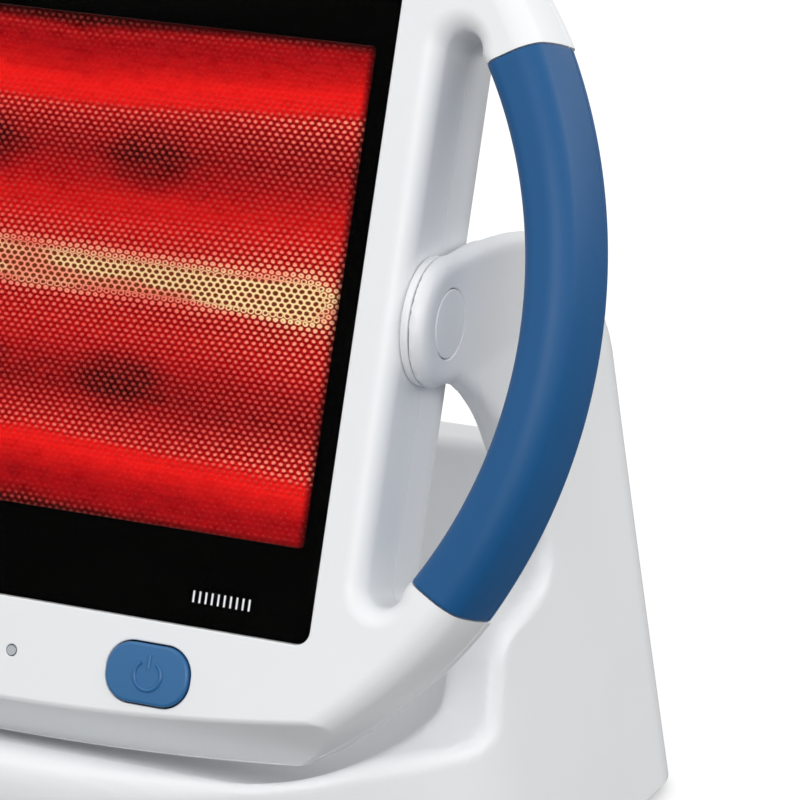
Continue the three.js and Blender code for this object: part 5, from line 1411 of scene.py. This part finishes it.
def plastic(name, colour, gloss, grain, relief, gloss_spread=0.05, tone_spread=0.05):
    """Grain is in waves per metre, relief is its height in metres."""
    material, tree, shader, place = new_material(name)
    group = tree.nodes.new("ShaderNodeGroup")
    group.node_tree = MOULDED
    tree.links.new(place, group.inputs["Place"])
    group.inputs["Colour"].default_value = (*colour, 1)
    group.inputs["Grain per metre"].default_value = grain
    group.inputs["Gloss"].default_value = gloss
    group.inputs["Gloss spread"].default_value = gloss_spread
    group.inputs["Tone spread"].default_value = tone_spread
    tree.links.new(group.outputs["Colour"], shader.inputs["Base Color"])
    tree.links.new(group.outputs["Roughness"], shader.inputs["Roughness"])
    bump(tree, shader, group.outputs["Height"], 1.0, relief)
    return material


def less_shine(material, level):
    material.node_tree.nodes["Principled BSDF"].inputs["Specular IOR Level"].default_value = level


WHITE = plastic("white_moulded_plastic", (0.855, 0.868, 0.882), 0.36, 2600, 0.00002)
BLUE = plastic("blue_grip_plastic", (0.008, 0.09, 0.25), 0.42, 3200, 0.00004, 0.08, 0.10)
less_shine(BLUE, 0.3)
BLUE_BUTTON = plastic("blue_button_plastic", (0.022, 0.135, 0.33), 0.30, 3000, 0.00002, 0.05, 0.06)
DARK = plastic("matt_black_plastic", (0.022, 0.023, 0.026), 0.55, 2200, 0.00004)
RUBBER = plastic("black_rubber", (0.018, 0.018, 0.02), 0.75, 1800, 0.00006)
BOARD = plastic("green_board", (0.02, 0.12, 0.05), 0.4, 900, 0.00003, 0.1, 0.2)
CERAMIC = plastic("unglazed_ceramic", (0.72, 0.69, 0.62), 0.7, 1500, 0.00008, 0.1, 0.08)
PRINT = plastic("black_print", (0.001, 0.001, 0.001), 0.6, 1500, 0.00001)
less_shine(PRINT, 0.0)
PALE_PRINT = plastic("pale_print", (0.72, 0.73, 0.74), 0.6, 1500, 0.00001)
LENS = plastic("milky_light_lens", (0.46, 0.49, 0.52), 0.25, 1500, 0.00001)
print("finishes so far:", len(bpy.data.materials))

# %% [markdown]
# Metals need little colour but a direction: drawn sheet and turned rods show fine lines along one
# way, which spread the highlight. The lines come from noise that is stretched along one axis. Glass
# gets a faint uneven haze, and the hot wire its own light.

# %% Metals, glass and hot wire
def metal(name, colour, rough, stretch, spread=0.1):
    material, tree, shader, place = new_material(name)
    lines = wire(tree, "ShaderNodeMapping", Vector=place, Scale=stretch).outputs[0]
    grain = noise(tree, lines, 1.0, 4.0)
    cloud = noise(tree, place, 60.0, 4.0)
    rough_value = ramp(tree, grain, 0.3, 0.7, rough, rough + spread)
    tint = mix_colours(tree, cloud, (*[c * 0.9 for c in colour], 1), (*colour, 1))
    tree.links.new(tint, shader.inputs["Base Color"])
    tree.links.new(rough_value, shader.inputs["Roughness"])
    bump(tree, shader, grain, 0.6, 0.00002)
    shader.inputs["Metallic"].default_value = 1.0
    return material


def clear_glass(name, colour, ior=1.45, haze=0.02):
    material, tree, shader, place = new_material(name)
    smear = noise(tree, place, 35.0, 5.0)
    tree.links.new(ramp(tree, smear, 0.35, 0.75, 0.0, haze), shader.inputs["Roughness"])
    tint = mix_colours(tree, smear, (*colour, 1), (*[min(1, c * 1.02) for c in colour], 1))
    tree.links.new(tint, shader.inputs["Base Color"])
    shader.inputs["Transmission Weight"].default_value = 1.0
    shader.inputs["IOR"].default_value = ior
    return material


def hot_wire():
    material, tree, shader, place = new_material("glowing_wire")
    spots = noise(tree, place, 400.0, 2.0)
    glow = mix_colours(tree, spots, (1.0, 0.36, 0.08, 1), (1.0, 0.62, 0.25, 1))
    tree.links.new(glow, shader.inputs["Emission Color"])
    shader.inputs["Emission Strength"].default_value = 1.0
    shader.inputs["Base Color"].default_value = (0.3, 0.28, 0.26, 1)
    shader.inputs["Metallic"].default_value = 1.0
    return material


STEEL = metal("zinc_plated_steel", (0.62, 0.63, 0.65), 0.25, (900, 60, 900))
ALUMINIUM = metal("polished_aluminium_sheet", (0.86, 0.87, 0.88), 0.12, (40, 1200, 1200))
PANE_GLASS = clear_glass("clear_front_glass", (1, 1, 1), 1.05, 0.01)
QUARTZ = clear_glass("clear_quartz", (0.97, 0.98, 1.0), 1.46, 0.05)
WIRE = hot_wire()
print("metals and glass:", STEEL.name, ALUMINIUM.name, PANE_GLASS.name, QUARTZ.name, WIRE.name)

# %% [markdown]
# ## The glow
# The red pane is the face of this lamp. Its glow is painted light: the pane's own emission stands in for the
# light of the tube behind it. Every dimple is a small lens: painted pale on the deep red glass, almost white
# where the lamp's tube lies right behind, with a dark core there. The pattern is worked out from the same
# lattice as the dimples, so light and shape meet.

# %% Lattice of the dimples
LATTICE_SQUASH = (0.85, 0.0, 1.1)      # the dots are a little wider than high


def vector_math(tree, operation, *values):
    node = wire(tree, "ShaderNodeVectorMath", {"operation": operation},
                **{f"_{i}": value for i, value in enumerate(values)})
    return node.outputs[0]


def lattice_group():
    """Distance to the nearest dimple, in millimetres, from a place on the pane."""
    group, given, out = shader_group(
        "dimple_lattice",
        [("Place", "NodeSocketVector", None), ("Pitch", "NodeSocketFloat", DIMPLE_PITCH),
         ("Row", "NodeSocketFloat", DIMPLE_ROW)],
        [("Distance", "NodeSocketFloat")])
    across, up = times(group, given.outputs["Pitch"], 0.5), given.outputs["Row"]
    low = wire(group, "ShaderNodeCombineXYZ", X=times(group, across, -1.0), Y=-0.001,
               Z=times(group, up, -1.0)).outputs[0]
    high = wire(group, "ShaderNodeCombineXYZ", X=across, Y=0.001, Z=up).outputs[0]
    nearest = []
    # Two plain grids, one shifted by half a cell, make the staggered rows
    for shift in (0.0, 1.0):
        step = wire(group, "ShaderNodeCombineXYZ", X=times(group, across, shift), Y=0.0,
                    Z=times(group, up, shift)).outputs[0]
        moved = vector_math(group, "ADD", given.outputs["Place"], step)
        cell = vector_math(group, "WRAP", moved, high, low)
        flat = vector_math(group, "MULTIPLY", cell, LATTICE_SQUASH)
        length = wire(group, "ShaderNodeVectorMath", {"operation": "LENGTH"}, _0=flat)
        nearest.append(length.outputs["Value"])
    group.links.new(math_node(group, "MINIMUM", *nearest), out.inputs["Distance"])
    return group


LATTICE = lattice_group()


def lattice_distance(tree, place):
    node = tree.nodes.new("ShaderNodeGroup")
    node.node_tree = LATTICE
    tree.links.new(place, node.inputs["Place"])
    return node.outputs["Distance"]


print("lattice:", DIMPLE_PITCH, "by", 2 * DIMPLE_ROW, "mm cells,", len(LATTICE.nodes), "nodes")

# %% [markdown]
# Broad bands and soft dark spots are painted reflections of the reflector. They are written down as levels
# against the height on the pane, in millimetres from its middle, and colour ramps turn them into nodes. A
# picture of the glow would do too, but levels can be tuned one by one.

# %% Levels up the pane
# Height on the pane and brightness of the red ground, painted after the reflector's bright and dim bands
GROUND_LEVELS = [(-72, 0), (-68.5, 0.02), (-67, 0.2), (-64, 0.4), (-59, 0.46), (-55, 0.75),
                 (-51, 1.0), (-47.5, 0.9), (-45, 0.55), (-40, 0.4), (-33, 0.26), (-26, 0.34),
                 (-20, 0.5), (-14, 0.55), (-6, 0.4), (0, 0.35), (8, 0.5), (15, 0.72), (22, 0.7),
                 (28, 0.45), (36, 0.28), (43, 0.36), (48, 0.6), (51, 0.95), (56, 1.0), (60, 0.7),
                 (65, 0.45), (70, 0.42), (72, 0.2), (73.6, 0.02), (78, 0)]
# Height and strength of the dimples' pale dots
DOT_LEVELS = [(-72, 0.5), (-68, 0.5), (-66, 0.3), (-62, 0.12), (-52, 0.15), (-48, 0.3), (-46, 1.0),
              (-40, 0.75), (-33, 0.5), (-24, 0.55), (-15, 0.85), (-7, 1.0), (8, 1.0), (15, 0.7),
              (20, 0.35), (28, 0.4), (36, 0.5), (43, 0.8), (48, 1.0), (50.5, 0.35), (56, 0.12),
              (64, 0.12), (68, 0.2), (70, 0.45), (71.4, 0.2), (73, 0.4), (78, 0.5)]
# Height and how far the dots have grown into rings and a net, right before the glowing tube
HOT_LEVELS = [(-13, 0), (-8, 0.2), (-5, 0.6), (-2.5, 0.97), (3.5, 1.0), (6, 0.65), (9.5, 0.22), (15, 0)]
# Heights of the two rows of dark spots, their distance from the middle, and how wide they are
SPOT_HEIGHTS, SPOT_OUT, SPOT_SQUASH = (35.0, -29.0), 28.0, 0.62


def ramp_colours(colours, stops):
    while len(colours.elements) < len(stops):
        colours.elements.new(0.5)
    for element, (place, colour) in zip(colours.elements, stops):
        element.position = place
        element.color = (*colour, 1)


def colour_ramp(tree, value, stops):
    node = wire(tree, "ShaderNodeValToRGB", Fac=value)
    ramp_colours(node.color_ramp, stops)
    return node.outputs[0]


def level_over(tree, value, stops):
    """A value that follows (height in millimetres, level) stops up the pane."""
    low, high = stops[0][0], stops[-1][0]
    share = wire(tree, "ShaderNodeMapRange", Value=value, From_Min=low, From_Max=high).outputs[0]
    return colour_ramp(tree, share, [((place - low) / (high - low), (level,) * 3) for place, level in stops])


print("levels for ground, dots and heat:", len(GROUND_LEVELS), len(DOT_LEVELS), len(HOT_LEVELS))

# %% [markdown]
# The pattern lives in the head's own upright millimetres. Each dimple bends its light a little its own
# way, and a slow wander makes the bands waver, so the rows never look printed.

# %% Places on the pane, bands and spots
def stretched(tree, place, scale, offset=(0.0, 0.0, 0.0)):
    return wire(tree, "ShaderNodeMapping", Vector=place, Scale=scale, Location=offset).outputs[0]


def uneven(tree, place, scale, detail):
    """Noise about zero, stretched along the bands."""
    return math_node(tree, "SUBTRACT", noise(tree, stretched(tree, place, scale), 1.0, detail), 0.5)


def on_head_place(tree, place):
    """Object coordinates turned upright and centred on the head, in millimetres."""
    moved = stretched(tree, place, (1, 1, 1), tuple(-PIVOT))
    turned = wire(tree, "ShaderNodeMapping", Vector=moved, Rotation=(REST_LEAN, 0, 0)).outputs[0]
    return wire(tree, "ShaderNodeVectorMath", {"operation": "SCALE"}, _0=turned, Scale=1 / MM).outputs[0]


def dimple_distances(tree, head):
    """Distance to the nearest dimple here, and at the place whose dimple casts the painted shadow on this
    one.
    """
    bent = wire(tree, "ShaderNodeTexNoise", Vector=head, Scale=0.35, Detail=1.0).outputs["Color"]
    centred = vector_math(tree, "SUBTRACT", bent, (0.5, 0.5, 0.5))
    pushed = vector_math(tree, "MULTIPLY_ADD", centred, (0.7, 0.0, 0.7), head)
    # Each dimple casts a painted shadow on the glass below it and to its right
    below = stretched(tree, pushed, (1, 1, 1), (-0.28, 0.0, 0.52))
    return lattice_distance(tree, pushed), lattice_distance(tree, below)


def dark_spots(tree, level, up, side):
    """Takes four soft spots, painted dark reflections, out of a level, two on each side of the middle."""
    for height in SPOT_HEIGHTS:
        across = times(tree, math_node(tree, "SUBTRACT", side, SPOT_OUT), SPOT_SQUASH)
        along = math_node(tree, "SUBTRACT", up, height)
        squares = math_node(tree, "ADD", times(tree, across, across), times(tree, along, along))
        away = math_node(tree, "SQRT", squares)
        level = math_node(tree, "SUBTRACT", level, ramp(tree, away, 3.0, 13.0, 0.24, 0.0))
    return level


def pane_levels(tree, head, grit):
    """Levels of ground, dots and heat on the pane, and the fade towards its edge."""
    parts = wire(tree, "ShaderNodeSeparateXYZ", Vector=head)
    up, side = parts.outputs["Z"], math_node(tree, "ABSOLUTE", parts.outputs["X"])
    wander = uneven(tree, head, (0.014, 0.05, 0.09), 3.0)
    # The bands spread a little towards the sides, and waver away from the edges
    height = math_node(tree, "DIVIDE", up, math_node(tree, "MULTIPLY_ADD", side, 0.001, 1.0))
    inner = ramp(tree, math_node(tree, "ABSOLUTE", up), 60.0, 68.0, 1.0, 0.0)
    height = math_node(tree, "ADD", height, times(tree, wander, times(tree, inner, 7.0)))
    ground = math_node(tree, "ADD", level_over(tree, height, GROUND_LEVELS), times(tree, grit, 0.35))
    dots = times(tree, level_over(tree, height, DOT_LEVELS), ramp(tree, side, 40.0, 85.0, 0.85, 1.15))
    hot = times(tree, level_over(tree, height, HOT_LEVELS), ramp(tree, side, 99.0, 84.0, 0.3, 1.0))
    reach = math_node(tree, "MAXIMUM", up, times(tree, up, -1.06))
    edge = times(tree, ramp(tree, side, 96.5, 92.0), ramp(tree, reach, 77.5, 72.0))
    return dark_spots(tree, ground, up, side), dots, hot, edge


print("dark spots at heights", SPOT_HEIGHTS, "and", SPOT_OUT, "mm to each side")

# %% [markdown]
# The colours are painted light, laid on in layers as light goes in the real pane: red ground, the dimples'
# painted shade on it, a pale dot on every dimple, and before the tube a hot net whose holes show the dark
# behind.

# %% Glow of the red pane
GROUND_COLOURS = [(0.0, (0.002, 0.0, 0.0)), (0.15, (0.09, 0.0, 0.001)), (0.45, (0.33, 0.001, 0.003)),
                  (1.0, (0.82, 0.008, 0.006))]
DOT_COLOURS = [(0.0, (0.30, 0.008, 0.006)), (0.35, (0.85, 0.11, 0.085)), (0.62, (1.0, 0.22, 0.15)),
               (0.82, (1.0, 0.42, 0.25)), (1.0, (1.0, 0.72, 0.36))]
SHADE_COLOUR = (0.12, 0.001, 0.002, 1)
COOL_HOLE, HOT_HOLE = (0.3, 0.003, 0.004, 1), (0.13, 0.024, 0.004, 1)


def dot_heat(tree, head, dots, hot):
    """How hot a dot looks, with paler and redder stretches along the tube."""
    warm = noise(tree, stretched(tree, head, (0.03, 0.1, 0.16)), 1.0, 2.0)
    warmth = ramp(tree, warm, 0.38, 0.62)
    heat = math_node(tree, "ADD", times(tree, dots, 0.6), times(tree, hot, 0.22))
    return math_node(tree, "ADD", heat, times(tree, times(tree, hot, warmth), 0.4))


def glow_material():
    material, tree, shader, place = new_material("glowing_red_pane")
    # The pane's emission is painted light: bands, dots, dark spots and dimple shadows stand in for the tube's
    # light behind it
    head = on_head_place(tree, place)
    far, shade_far = dimple_distances(tree, head)
    grit = uneven(tree, head, (0.22, 0.4, 0.5), 4.0)
    ground_level, dots, hot, edge = pane_levels(tree, head, grit)
    lit = times(tree, math_node(tree, "MAXIMUM", ground_level, 0.0), edge)
    ground = colour_ramp(tree, lit, GROUND_COLOURS)
    # A dot grows with the heat, and then opens in its middle
    dot_size = math_node(tree, "MULTIPLY_ADD", times(tree, hot, hot), 0.9, 0.5)
    dot = ramp(tree, math_node(tree, "SUBTRACT", far, dot_size), 0.24, -0.22)
    dot = times(tree, dot, dots, clamp=True)
    core_size = ramp(tree, hot, 0.2, 0.85, -0.25, 0.72)
    core = ramp(tree, math_node(tree, "SUBTRACT", far, core_size), 0.2, -0.2)
    dot_colour = colour_ramp(tree, dot_heat(tree, head, dots, hot), DOT_COLOURS)
    # Painted shadow of each dimple on the red ground
    shadow = times(tree, ramp(tree, shade_far, 0.85, 0.3), times(tree, dots, 0.75))
    shaded = mix_colours(tree, shadow, ground, SHADE_COLOUR)
    red = mix_colours(tree, dot, shaded, dot_colour)
    netted = mix_colours(tree, core, red, mix_colours(tree, hot, COOL_HOLE, HOT_HOLE))
    fade = wire(tree, "ShaderNodeCombineXYZ", X=edge, Y=edge, Z=edge).outputs[0]
    glow = mix_colours(tree, 1.0, netted, fade, "MULTIPLY")
    tree.links.new(glow, shader.inputs["Emission Color"])
    shader.inputs["Emission Strength"].default_value = 1.0
    tree.links.new(ramp(tree, grit, -0.2, 0.2, 0.25, 0.4), shader.inputs["Roughness"])
    shader.inputs["Base Color"].default_value = (0.02, 0.0, 0.0, 1)
    shader.inputs["Specular IOR Level"].default_value = 0.04
    return material


GLOW = glow_material()
print("glow:", len(GLOW.node_tree.nodes), "nodes")

# %% [markdown]
# ## Putting it together
# Each finished piece is shaded, put in its place in metres, given its finish, tied to the body that carries
# it, and its plain solid is hidden.

# %% Dimples and assembly
DIMPLE_SIZES = {"Radius": DIMPLE_RADIUS, "Top": DIMPLE_TOP, "Rise": DIMPLE_RISE, "Finish": GLOW}
dimples = grow("pane_dimples", dimple_tree(), DIMPLE_SIZES, dimple_places())
red = joined("dimpled_red_pane", [red_sheet, dimples])


def fit(piece, place, material, body, slot, *nodes, angle=32):
    """Finishes a piece, ties it to its body and hides the plain solids it stands for; the slot is not used.
    """
    finish_shading(piece, angle)
    settle(piece, place, material)
    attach(piece, body)
    if nodes:
        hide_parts(*nodes)
    return piece


fit(stand, ON_STAND, WHITE, "stand", "white_plastic", "stand_shell", angle=38)
for side, word in ((1, "right"), (-1, "left")):
    fit(caps[side], ON_STAND, WHITE, "stand", "white_plastic", f"hub_cap_{word}")
    fit(rings[side], ON_HEAD, WHITE, "head", "white_plastic", f"pivot_ring_{word}")
FOOT_NODES = [f"rubber_foot_{a}_{b}" for a in ("front", "back") for b in ("right", "left")]
fit(feet, ON_STAND, RUBBER, "stand", "rubber", *FOOT_NODES)
fit(base_screws, ON_STAND, STEEL, "stand", "steel", *[f"base_screw_{i}" for i in range(1, 5)])
fit(inlet, ON_STAND, RUBBER, "stand", "rubber", "cord_inlet")
fit(front, ON_HEAD, WHITE, "head", "white_plastic", "front_bezel")
fit(rear, ON_HEAD, WHITE, "head", "white_plastic", "rear_cover")
fit(head_screws, ON_HEAD, STEEL, "head", "steel", *[f"head_screw_{i}" for i in range(1, 5)])
for piece, node in ((grip_front_right, "grip_front_right"), (grip_front_left, "grip_front_left"),
                    (grip_rear_right, "grip_rear_right"), (grip_rear_left, "grip_rear_left")):
    fit(piece, ON_HEAD, BLUE, "head", "grip_blue", node)
fit(glass, ON_HEAD, PANE_GLASS, "head", "front_glass", "ceramic_glass")
fit(border, ON_HEAD, PRINT, "head", "front_glass")
fit(ticks, ON_HEAD, PALE_PRINT, "head", "front_glass")
fit(red, ON_HEAD, GLOW, "head", "red_filter", "dimpled_filter", angle=50)
fit(power, ON_HEAD, BLUE_BUTTON, "power_key", "button_blue", "power_button")
fit(timer, ON_HEAD, BLUE_BUTTON, "timer_key", "button_blue", "timer_button")
print("red pane with dimples:", len(red.data.polygons), "faces")

# %% [markdown]
# What lies inside the lamp stays as the plain solids of the frame: lamp, reflector, fan and board. They
# would show only through a vent, so a true finish is enough for them.

# %% Finishes of the plain solids that stay
FINISH_OF = {
    DARK: ["base_plate", "trunnion_right", "trunnion_left", "thermal_cutout", "fan_frame", "fan_rotor",
           "power_switch", "timer_switch", "relay", "buzzer", "terminal_block"],
    STEEL: ["base_weight", "lamp_holder_right", "lamp_holder_left"],
    ALUMINIUM: ["reflector", "heat_shield"], RUBBER: ["glass_gasket"], QUARTZ: ["quartz_tube"],
    WIRE: ["heating_coil"], CERAMIC: ["lamp_base_right", "lamp_base_left"], BOARD: ["control_board"],
    LENS: [f"timer_light_{i}" for i in range(1, 4)],
}
for material, names in FINISH_OF.items():
    for name in names:
        node = frame["nodes"][name]
        for slot in node.material_slots:
            slot.material = material
print("plain solids dressed:", sum(len(names) for names in FINISH_OF.values()))

# %% [markdown]
# ## Floor, light and camera
# A pale floor with nothing on it, and an even sky. Both look white to the camera and to glass only, so
# that the white lamp stands on white and yet isn't lit from all around by it.

# %% Floor and sky
FLOOR_HALF = 6
SKY_LIGHT = 0.84


def seen_by_camera(tree):
    """One for rays straight from the camera or through glass, zero for the others."""
    path = tree.nodes.new("ShaderNodeLightPath")
    return math_node(tree, "MAXIMUM", path.outputs["Is Camera Ray"], path.outputs["Is Transmission Ray"])


def floor_material():
    material, tree, shader, _ = new_material("pale_floor")
    shader.inputs["Roughness"].default_value = 0.9
    shader.inputs["Specular IOR Level"].default_value = 0.0
    shader.inputs["Emission Color"].default_value = (1, 1, 1, 1)
    seen = seen_by_camera(tree)
    tone = math_node(tree, "MULTIPLY_ADD", seen, 0.65, 0.15)
    grey = wire(tree, "ShaderNodeCombineXYZ", X=tone, Y=tone, Z=tone).outputs[0]
    tree.links.new(grey, shader.inputs["Base Color"])
    tree.links.new(times(tree, seen, 0.3), shader.inputs["Emission Strength"])
    return material


floor_corners = [(x * FLOOR_HALF, y * FLOOR_HALF, 0) for x, y in ((-1, -1), (1, -1), (1, 1), (-1, 1))]
floor_mesh = mesh_of("floor", floor_corners, [(0, 1, 2, 3)])
floor = add_piece("floor", floor_mesh)
floor_mesh.materials.append(floor_material())

world = bpy.data.worlds.new("studio")
bpy.context.scene.world = world
world.use_nodes = True
sky = world.node_tree
background = sky.nodes["Background"]
strength = math_node(sky, "ADD", times(sky, seen_by_camera(sky), 1.0 - SKY_LIGHT), SKY_LIGHT)
sky.links.new(strength, background.inputs["Strength"])
background.inputs["Color"].default_value = (1, 1, 1, 1)
print("floor:", 2 * FLOOR_HALF, "m square; sky at", SKY_LIGHT)

# %% [markdown]
# Four big soft lamps. The one beside the camera is the strongest, because it reaches through the finger
# gap; the others stand high on the left, on the right and behind the right arm. Big faces keep the
# shadows soft, as white things are lit for a catalogue.

# %% Lamps
def soft_lamp(name, place, size, power, target=(0, 0, 0.16)):
    data = bpy.data.lights.new(name, "AREA")
    data.shape = "RECTANGLE"
    data.size, data.size_y = size
    data.energy = power
    lamp = bpy.data.objects.new(name, data)
    lamp.location = place
    lamp.rotation_euler = (Vector(target) - Vector(place)).to_track_quat("-Z", "Y").to_euler()
    bpy.context.collection.objects.link(lamp)
    return lamp


soft_lamp("key", (-0.9, -1.3, 2.1), (1.2, 1.2), 6)
soft_lamp("front", (1.0, -1.6, 0.9), (0.9, 0.9), 10)
soft_lamp("fill", (1.8, -1.0, 0.7), (1.4, 0.9), 3)
soft_lamp("side", (1.7, 1.1, 0.9), (1.2, 1.2), 8)
print("lamps:", len(bpy.data.lights))

# %% [markdown]
# The camera stands far off with a long lens, so the lamp's edges stay nearly parallel. It looks from
# the right and from above, close enough that the right half of the lamp fills the picture.

# %% Camera
camera_data = bpy.data.cameras.new("camera")
camera = bpy.data.objects.new("camera", camera_data)
bpy.context.collection.objects.link(camera)
camera_data.sensor_width = 36
camera_data.lens = 213.75
camera.location = (0.6622, -1.2190, 0.5964)
AZIMUTH, ELEVATION = math.radians(25), math.radians(18.4)
back = Vector((math.sin(AZIMUTH) * math.cos(ELEVATION), -math.cos(AZIMUTH) * math.cos(ELEVATION),
               math.sin(ELEVATION)))
camera.rotation_euler = back.to_track_quat("Z", "Y").to_euler()
bpy.context.scene.camera = camera
bpy.context.scene.view_settings.view_transform = "Standard"
print("camera", round(camera.location.length, 2), "m from the middle of the floor, lens", camera_data.lens)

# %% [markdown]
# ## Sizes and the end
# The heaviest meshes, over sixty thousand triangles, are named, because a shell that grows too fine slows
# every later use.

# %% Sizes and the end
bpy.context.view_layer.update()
for piece in bpy.context.scene.objects:
    if piece.type == "MESH" and not piece.hide_render:
        piece.data.calc_loop_triangles()
        if len(piece.data.loop_triangles) > 60000:
            print(piece.name, len(piece.data.loop_triangles), "triangles")
